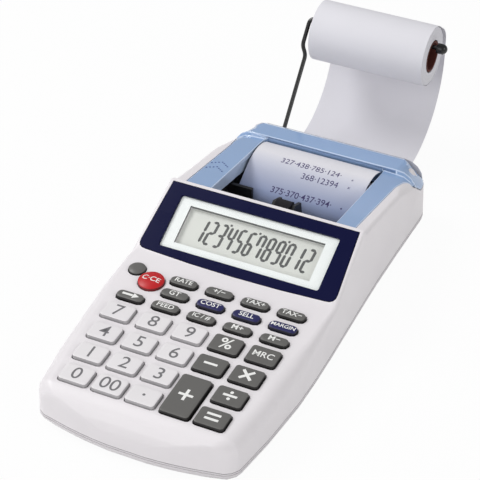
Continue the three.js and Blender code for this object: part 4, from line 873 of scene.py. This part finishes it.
def arrow_mesh(name):
    deselect()
    bpy.ops.mesh.primitive_circle_add(vertices=3, radius=ARROW_THICKNESS * HEAD_SHARE * MM,
                                      fill_type="NGON", rotation=(0, 0, radians(-90)))
    freeze()
    head = bpy.context.object
    head.data.transform(moved((ARROW_LENGTH * HEAD_PLACE * MM, 0, 0)))
    shaft = plane("shaft", ARROW_LENGTH * SHAFT_LONG, ARROW_THICKNESS * SHAFT_THICK)
    shaft.data.transform(moved((ARROW_LENGTH * SHAFT_PLACE * MM, 0, 0)))
    return joined([head, shaft], name)


def cross_cut(piece, step):
    corners = [v.co.copy() for v in piece.data.vertices]
    edit_all(piece)
    for axis, direction in ((0, (1, 0, 0)), (1, (0, 1, 0))):
        low, high = min(c[axis] for c in corners), max(c[axis] for c in corners)
        for cut in range(1, int((high - low) / (step * MM))):
            bpy.ops.mesh.select_all(action="SELECT")
            spot = [low + cut * step * MM if i == axis else 0 for i in range(3)]
            bpy.ops.mesh.bisect(plane_co=spot, plane_no=direction)
    leave_edit()


PRESS_FROM, PRESS_GAP, PRESS_STEP, LEGEND_UP = 5, 0.04, 0.7, 0.25


def press_onto(piece, surface):
    cross_cut(piece, PRESS_STEP)
    piece.data.transform(moved((0, 0, PRESS_FROM * MM)))
    wrap = piece.modifiers.new("press", "SHRINKWRAP")
    wrap.target = surface
    wrap.wrap_method = "PROJECT"
    wrap.use_project_z = True
    wrap.use_negative_direction = True
    wrap.use_positive_direction = False
    wrap.offset = PRESS_GAP * MM
    apply_to(piece, wrap)


def dress_key(node, slot, shape, legend, size, x, y, bold=0.0):
    label = node.replace("_", "-")
    key = twin(BLANKS[shape], label + "-cap")
    key.data.materials.append(FINISHES[slot])
    key.data.materials.append(SHADED_WALLS[slot])
    if legend:
        label += "-legend"
        arrow = legend == "arrow"
        mark = arrow_mesh(label) if arrow else text_mesh(label, legend, size, bold)
        mark.data.transform(moved((0, LEGEND_UP * MM, 0)))
        press_onto(mark, key)
        settle(mark, deck_frame(x, y))
        ink = INKS_AND_SHADE["grey" if slot == "digit_key" else "white"]
        hand_over(mark, BODY_OF[node], slot, finish=ink)
    settle(key, deck_frame(x, y))
    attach(key, BODY_OF[node])
    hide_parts(node)


# %% [markdown]
# Each line of the table becomes a cap and its legend. The plus key is two rows tall, and
# the two round keys stand by themselves at the left. The small one has no legend. Signs
# are printed boldest and figures thinnest.

# %% Place the keys
DIGIT_BOLD, SIGN_BOLD, WORD_BOLD, RED_BOLD, LARGEST_WORD = 0.02, 0.09, 0.05, 0.04, 5
PLUS_SIZE, PLUS_Y, CLEAR_SIZE = 13.2, 22.7, 3.9
CLEAR_PLACE, POWER_PLACE = (-30.2, 79.4), (-39.6, 84.4)
for line in KEYS.strip().splitlines():
    node, column, row, colour, size, legend = line.split(None, 5)
    bold = SIGN_BOLD if float(size) > LARGEST_WORD else WORD_BOLD
    bold = DIGIT_BOLD if colour == "digit" else bold
    dress_key("key_" + node, colour + "_key", "bar" if row in BAR_ROWS else "big", legend,
              float(size), column_x(int(column), ROWS[row]), ROWS[row], bold)
dress_key("key_plus", "dark_key", "tall", "+", PLUS_SIZE, column_x(3, ROWS["zero"]), PLUS_Y,
          SIGN_BOLD)
dress_key("key_clear", "red_key", "red", "C·CE", CLEAR_SIZE, *CLEAR_PLACE, RED_BOLD)
dress_key("key_power", "dark_key", "dot", "", 0, *POWER_PLACE)
for blank in BLANKS.values():
    bpy.data.objects.remove(blank)

# %% [markdown]
# The display has three layers. A clear pane lies almost flush in the bezel, a white
# printed border is on the pane's underside, and the pale glass of the panel is about two
# millimetres below. The border's inner walls are coloured dark, a painted shade, so a thin
# shadow line frames the panel.
# Pane and panel are cubes with rounded corners and a fine edge. The border is a plane
# with its middle opened by an inset, and a modifier gives it its depth.

# %% Display pane, border and panel
WINDOW_V = (5.2, 31.2)
PANEL_V = (8.8, 27.8)
WINDOW_HALF, PANEL_HALF = 37.7, 32.2
PANE_TOP, BORDER_N, PANEL_N, PANEL_BACK = -0.25, -0.95, -3.0, -7.3
PANE_CORNER, PANE_EDGE, PANEL_CORNER, PANEL_EDGE = 1.6, 0.15, 0.6, 0.2
PANEL_MARGIN, BORDER_WALL, BORDER_GAP, INNER_GAP, INNER_HALF = 2.4, 1.8, 0.05, 0.1, 10


def rounded_slab(name, half, low, high, bottom, top, corner, edge):
    slab = block(name, 2 * half, high - low, bottom, top)
    round_uprights(slab, top - bottom, corner, 6)
    soften_rim(slab, edge, 2)
    leave_edit()
    shade(slab, 40)
    flatten_wide_faces(slab)
    return settle(slab, hood_frame((low + high) / 2, 0))


pane = rounded_slab("display-pane", WINDOW_HALF, *WINDOW_V, BORDER_N + BORDER_GAP, PANE_TOP,
                    PANE_CORNER, PANE_EDGE)
hand_over(pane, "body", "window", "display_window")
panel = rounded_slab("display-panel", PANEL_HALF + PANEL_MARGIN, PANEL_V[0] - PANEL_MARGIN,
                     PANEL_V[1] + PANEL_MARGIN, PANEL_BACK, PANEL_N, PANEL_CORNER, PANEL_EDGE)
hand_over(panel, "body", "lcd", "lcd_panel")

border = plane("display-border", 2 * WINDOW_HALF, WINDOW_V[1] - WINDOW_V[0])
edit_all(border, "FACE")
bpy.ops.mesh.inset(thickness=(PANEL_V[0] - WINDOW_V[0]) * MM)
bpy.ops.mesh.delete(type="FACE")
choose(border, "VERT", lambda v: abs(v.co.x) < (WINDOW_HALF - 1) * MM)
bpy.ops.transform.resize(value=(PANEL_HALF / (WINDOW_HALF - PANEL_V[0] + WINDOW_V[0]), 1, 1),
                         center_override=(0, 0, 0))
leave_edit()
wall = border.modifiers.new("wall", "SOLIDIFY")
wall.thickness = BORDER_WALL * MM
wall.offset = -1
apply_to(border, wall)
hand_over(border, "body", "window", finish=INKS_AND_SHADE["border"])
border.data.materials.append(INKS_AND_SHADE["lip"])
# The border's inner walls take the dark lip colour, painted shade of the recess round the panel.
for face in border.data.polygons:
    inner = (abs(face.center.x) < (PANEL_HALF + INNER_GAP) * MM
             and abs(face.center.y) < INNER_HALF * MM)
    face.material_index = 1 if abs(face.normal.z) < 0.5 and inner else 0
settle(border, hood_frame(sum(WINDOW_V) / 2, BORDER_N))
print("border", [round(v * 1000, 1) for v in border.dimensions])

# %% [markdown]
# The twelve characters are built from two six-sided segments, a level and an upright
# one, laid in the seven places of each digit and leaned over a little. A short tick
# above marks each group of three.

# %% Segments
DIGIT_HEIGHT, DIGIT_WIDTH, STROKE, PITCH = 11.0, 2.5, 1.28, 4.6
FIRST_X, DIGIT_V, SLANT, SEGMENT_GAP, TIP_SHARE, DIGIT_LIFT = -23.4, 18.4, 4.5, 0.12, 0.46, 0.03
TICKED, TICK_SHAPE, TICK_SIDE, TICK_RISE = "369", (0.8, 0.2), 0.58, 0.75
LIT = {"0": "abcdef", "1": "bc", "2": "abged", "3": "abgcd", "4": "fgbc", "5": "afgcd",
       "6": "afgedc", "7": "fabc", "8": "abcdefg", "9": "abcdfg"}
SHOWN = "123456789012"
SEGMENT_PLACES = {
    "a": (0, 1, False), "g": (0, 0, False), "d": (0, -1, False), "f": (-1, 0.5, True),
    "b": (1, 0.5, True), "e": (-1, -0.5, True), "c": (1, -0.5, True),
}


def segment_blank(length, width):
    blank = plane("segment", length, width)
    edit_all(blank)
    bpy.ops.mesh.bevel(offset=width * TIP_SHARE * MM, segments=1, affect="VERTICES")
    leave_edit()
    return blank


across = segment_blank(DIGIT_WIDTH - SEGMENT_GAP, STROKE)
upright = segment_blank(DIGIT_HEIGHT / 2 - SEGMENT_GAP, STROKE)
upright.data.transform(Matrix.Rotation(radians(90), 4, "Z"))
slant = Matrix.Identity(4)
slant[0][1] = tan(radians(SLANT))
lit = []
for index, digit in enumerate(SHOWN):
    for letter in LIT[digit]:
        side, level, turned = SEGMENT_PLACES[letter]
        segment = twin(upright if turned else across)
        segment.data.transform(slant @ moved(
            (side * DIGIT_WIDTH / 2 * MM, level * DIGIT_HEIGHT / 2 * MM, 0)))
        segment.data.transform(moved(((FIRST_X + index * PITCH) * MM, 0, 0)))
        lit.append(segment)
    if digit in TICKED:
        tick = twin(upright)
        tick.data.transform(Matrix.Diagonal((*TICK_SHAPE, 1, 1)))
        tick.data.transform(moved(((FIRST_X + (index + TICK_SIDE) * PITCH) * MM,
                                   (DIGIT_HEIGHT / 2 + TICK_RISE) * MM, 0)))
        lit.append(tick)
digits = joined(lit, "display-digits")
settle(digits, hood_frame(DIGIT_V, PANEL_N + DIGIT_LIFT))
hand_over(digits, "body", "lcd", finish=INKS_AND_SHADE["segment"])
bpy.data.objects.remove(across)
bpy.data.objects.remove(upright)
print("lit segments", len(lit))

# %% [markdown]
# The paper is one long sheet in two lengths: the tongue that rises from the printer
# and arches over, and the web that hangs from the roll in a slack loop. A sheet starts
# as a flat grid, whose points are carried along a path by their distance from its start.
# So the paper bends but never stretches. A modifier gives it its thickness.

# %% Sheets along a path
SHEET, SHORTEST_STEP = 0.25, 1e-9
FEED_Y, FEED_Z, WRAP = 165.3, 17.0, 5.425
SLOT_IN, SLOT_OUT, SLOT_Z, FEED_START = 213.6, 205.5, 8, (164.82, 11.6)
BEND_RADIUS, BEND_RISE, APEX, APEX_RADIUS = 7, 0.5, (181.6, 11.37), 20
UP_TURN, LEAN_TURN, TIP_TURN = 180, 122, 58


def arc(y, z, radius, start, end, steps):
    turns = [radians(start + (end - start) * i / steps) for i in range(steps + 1)]
    return [Vector((y + radius * cos(t), z + radius * sin(t))) for t in turns]


class Path:
    def __init__(self, points):
        self.points = points
        self.marks = [0.0]
        for before, after in zip(points, points[1:]):
            self.marks.append(self.marks[-1] + (after - before).length)
        self.length = self.marks[-1]

    def at(self, distance):
        distance = min(max(distance, 0), self.length)
        for i in range(1, len(self.marks)):
            if distance <= self.marks[i] or i == len(self.marks) - 1:
                step = max(self.marks[i] - self.marks[i - 1], SHORTEST_STEP)
                share = (distance - self.marks[i - 1]) / step
                point = self.points[i - 1].lerp(self.points[i], share)
                along = (self.points[i] - self.points[i - 1]).normalized()
                return point, Vector((-along.y, along.x))


def face_outward():
    bpy.ops.mesh.select_all(action="SELECT")
    bpy.ops.mesh.normals_make_consistent(inside=False)
    leave_edit()


def rolled_sheet(name, path, across, along, curl=lambda side, share: (0, 0)):
    deselect()
    bpy.ops.mesh.primitive_grid_add(x_subdivisions=across, y_subdivisions=along, size=2)
    sheet = bpy.context.object
    sheet.name = name
    for vertex in sheet.data.vertices:
        side, share = vertex.co.x, (vertex.co.y + 1) / 2
        lift, further = curl(side, share)
        point, normal = path.at(share * path.length + further)
        vertex.co = place(side * PAPER_HALF, point.x + normal.x * lift, point.y + normal.y * lift)
    wall = sheet.modifiers.new("wall", "SOLIDIFY")
    wall.thickness = SHEET * MM
    wall.offset = 0
    apply_to(sheet, wall)
    edit_all(sheet)
    face_outward()
    shade(sheet, 50)
    return sheet


tongue_path = Path([Vector((SLOT_IN, SLOT_Z)), Vector((SLOT_OUT, SLOT_Z)), Vector(FEED_START)]
                   + arc(FEED_Y, FEED_Z, WRAP, 265, UP_TURN, 18)
                   + arc(FEED_Y - WRAP + BEND_RADIUS, FEED_Z + BEND_RISE, BEND_RADIUS,
                         UP_TURN, LEAN_TURN, 14)
                   + arc(*APEX, APEX_RADIUS, LEAN_TURN, TIP_TURN, 40))
TEETH, TOOTH_DEPTH, TORN_FROM, CURL_FROM, CURL = 14, 1.1, 0.995, 0.8, 0.25


def torn_end(side, share):
    tooth = abs((side * TEETH) % 1 - 0.5) if share > TORN_FROM else 0
    return (-CURL * max(0, share - CURL_FROM) * abs(side) ** 3, -tooth * TOOTH_DEPTH)


tongue = rolled_sheet("paper-tongue", tongue_path, 113, 150, torn_end)
hand_over(tongue, "body", "paper", "paper_strip", finish=TONGUE_PAINTED_SHADE)


def lap_point(turn, radius):
    return Vector((ROLL_Y + radius * cos(radians(turn)),
                   ROLL_Z + radius * sin(radians(turn))))


def eased(share):
    return share * share * (3 - 2 * share)


LAP_RADIUS, LAP_GROWTH, LAP_START, LAP_STEP, LAP_STEPS = 14.22, 0.3, 350, 5, 60
SLACK_TURN, SLACK_RADIUS, SLACK, SLACK_STEPS = 50, 14.52, 3.355, 24
WEB_CENTRE, WEB_BEND, WEB_END = (228.875, 49), 41, 214.4
outer_lap = [lap_point(LAP_START - LAP_STEP * i, LAP_RADIUS + LAP_GROWTH * i / LAP_STEPS)
             for i in range(LAP_STEPS)]
slack_lap = [lap_point(SLACK_TURN - SLACK_TURN * i / SLACK_STEPS,
                       SLACK_RADIUS + SLACK * eased(i / SLACK_STEPS))
             for i in range(SLACK_STEPS + 1)]
web_path = Path(outer_lap + slack_lap + arc(*WEB_CENTRE, WEB_BEND, 0, -90, 48)
                + [Vector((WEB_END, SLOT_Z))])
web = rolled_sheet("paper-web", web_path, 24, 260)
hand_over(web, "arm", "paper", "paper_web")
print("tongue", round(tongue_path.length, 1), "mm, web", round(web_path.length, 1), "mm")

# %% [markdown]
# The printer has put three short rows of figures on the tongue. Each row is text made
# into a mesh and cut into short pieces, then bent along the very same path, a little
# above the sheet, so the ink follows the arch.

# %% Printed rows
TONGUE_START, INK_LIFT, CUTS_PER_HEIGHT = tongue_path.marks[22], 0.03, 10


def print_row(name, words, size, x_right, along, bold):
    row = text_mesh(name, words, size, bold)
    cross_cut(row, size / CUTS_PER_HEIGHT)
    reach = max(v.co.x for v in row.data.vertices)
    for vertex in row.data.vertices:
        point, normal = tongue_path.at(TONGUE_START + along + vertex.co.y / MM)
        point = point + normal * (SHEET / 2 + INK_LIFT)
        vertex.co = place(x_right + (vertex.co.x - reach) / MM, point.x, point.y)
    hand_over(row, "body", "ink", finish=INKS_AND_SHADE["ribbon"])


PRINTED = (  # name, figures, height, right end, distance up the tongue, bold
    ("row-first", "327·438·785·124·", 4.3, 15.2, 23.7, 0),
    ("row-second", "368·12394", 4.3, 15.8, 18.1, 0),
    ("row-total", "375·370·437·394·", 4.3, 16.4, 8.0, 0.03),
    ("mark-first", "+", 2.6, 21.6, 22.6, 0),
    ("mark-second", "×", 2.8, 21.6, 18.2, 0),
    ("mark-total", "•", 3.4, 21.8, 7.6, 0),
)
for row in PRINTED:
    print_row(*row)
print("printed pieces", len(PRINTED))

# %% [markdown]
# The roll is many turns of paper on a card core. It is spun here from a profile with a
# rounded edge. The fine rings on its ends come from its material.

# %% Roll, core and its rings
def spun_ring(name, profile, steps=96):
    ring = plane(name)
    edit_all(ring)
    bpy.ops.mesh.delete(type="VERT")
    mesh = bmesh.from_edit_mesh(ring.data)
    points = [mesh.verts.new((x * MM, 0, r * MM)) for x, r in profile]
    for before, after in zip(points, points[1:] + points[:1]):
        mesh.edges.new((before, after))
    bmesh.update_edit_mesh(ring.data)
    bpy.ops.mesh.select_all(action="SELECT")
    bpy.ops.mesh.spin(steps=steps, angle=2 * pi, center=(0, 0, 0), axis=(1, 0, 0))
    bpy.ops.mesh.select_all(action="SELECT")
    bpy.ops.mesh.remove_doubles(threshold=MERGE)
    face_outward()
    shade(ring, 40)
    settle(ring, moved(place(0, ROLL_Y, ROLL_Z)))
    return ring


ROLL_END = ((0, 8), (0, 11), (0.1, 13.7), (0.35, 14), (0.9, ROLL_RADIUS))
CORE_END = ((0, 6.5), (0, 7.5))


def both_ends(rows):
    left = [(-PAPER_HALF + inset, radius) for inset, radius in rows]
    return left + [(-x, radius) for x, radius in reversed(left)]


roll = spun_ring("paper-roll", both_ends(ROLL_END))
hand_over(roll, "roll", "paper", "paper_roll", finish=ROLL_FINISH)
core = spun_ring("roll-core-tube", both_ends(CORE_END), 64)
hand_over(core, "roll", "core", "roll_core")
print("roll", [round(v * 1000, 1) for v in roll.dimensions])

# %% [markdown]
# The arm is one bent wire: a straight foot in the lugs, a leg with a small jog, and the
# axle that carries the roll. Its solid has eight sides, so the same route is drawn here
# as a curve with a round bevel and made a mesh. The cap at its end is a small glossy
# ball with a flat collar, spun like the roll.

# %% Wire arm and cap
ROUTE = ((-42.5, 214, 17), (-31.3, 214, 17), (-31.3, 240.6, 48.85), (-34.15, 243.26, 52.04),
         (-34.15, 252, 62.5), (33.75, 252, 62.5))
WIRE, BEND, BEND_SHARE, BEND_STEPS = 1.0, 3.0, 0.4, 8


def wire_points():
    points = [Vector(ROUTE[0])]
    for before, middle, after in zip(ROUTE, ROUTE[1:], ROUTE[2:]):
        corner = Vector(middle)
        back, onward = Vector(before) - corner, Vector(after) - corner
        cut = min(BEND, BEND_SHARE * min(back.length, onward.length))
        start, end = corner + back.normalized() * cut, corner + onward.normalized() * cut
        for step in range(BEND_STEPS + 1):
            t = step / BEND_STEPS
            points.append(start * (1 - t) ** 2 + corner * 2 * t * (1 - t) + end * t ** 2)
    points.append(Vector(ROUTE[-1]))
    return points


curve_data = bpy.data.curves.new("wire", "CURVE")
curve_data.dimensions = "3D"
curve_data.bevel_depth = WIRE * MM
curve_data.bevel_resolution = 5
curve_data.use_fill_caps = True
spline = curve_data.splines.new("POLY")
route = [place(*p) for p in wire_points()]
spline.points.add(len(route) - 1)
for target, point in zip(spline.points, route):
    target.co = (*point, 1)
wire = new_object("arm-wire", curve_data)
only_selected(wire)
bpy.ops.object.convert(target="MESH")
wire = bpy.context.object
shade(wire, 60)
hand_over(wire, "arm", "wire", "roll_arm")

CAP_X, AXLE_Z, BALL_MIDDLE, BALL_RADIUS = 30.95, 62.5, 2.4, 2.5
CAP_COLLAR = [(0, 1.05), (0, 2.2), (0.2, 2.45), (0.9, BALL_RADIUS)]
CAP_BORE = [(4.95, 0.05), (3.4, 0.05), (3.4, 1.05)]
ball = [(BALL_MIDDLE + BALL_RADIUS * sin(radians(a)),
         BALL_RADIUS * cos(radians(a))) for a in range(0, 90, 10)]
cap = spun_ring("arm-end-ball", CAP_COLLAR + ball + CAP_BORE, 40)
cap.data.transform(moved(Vector((CAP_X, 0, AXLE_Z - ROLL_Z)) * MM))
hand_over(cap, "arm", "cap", "axle_cap")
print("wire points", len(route))
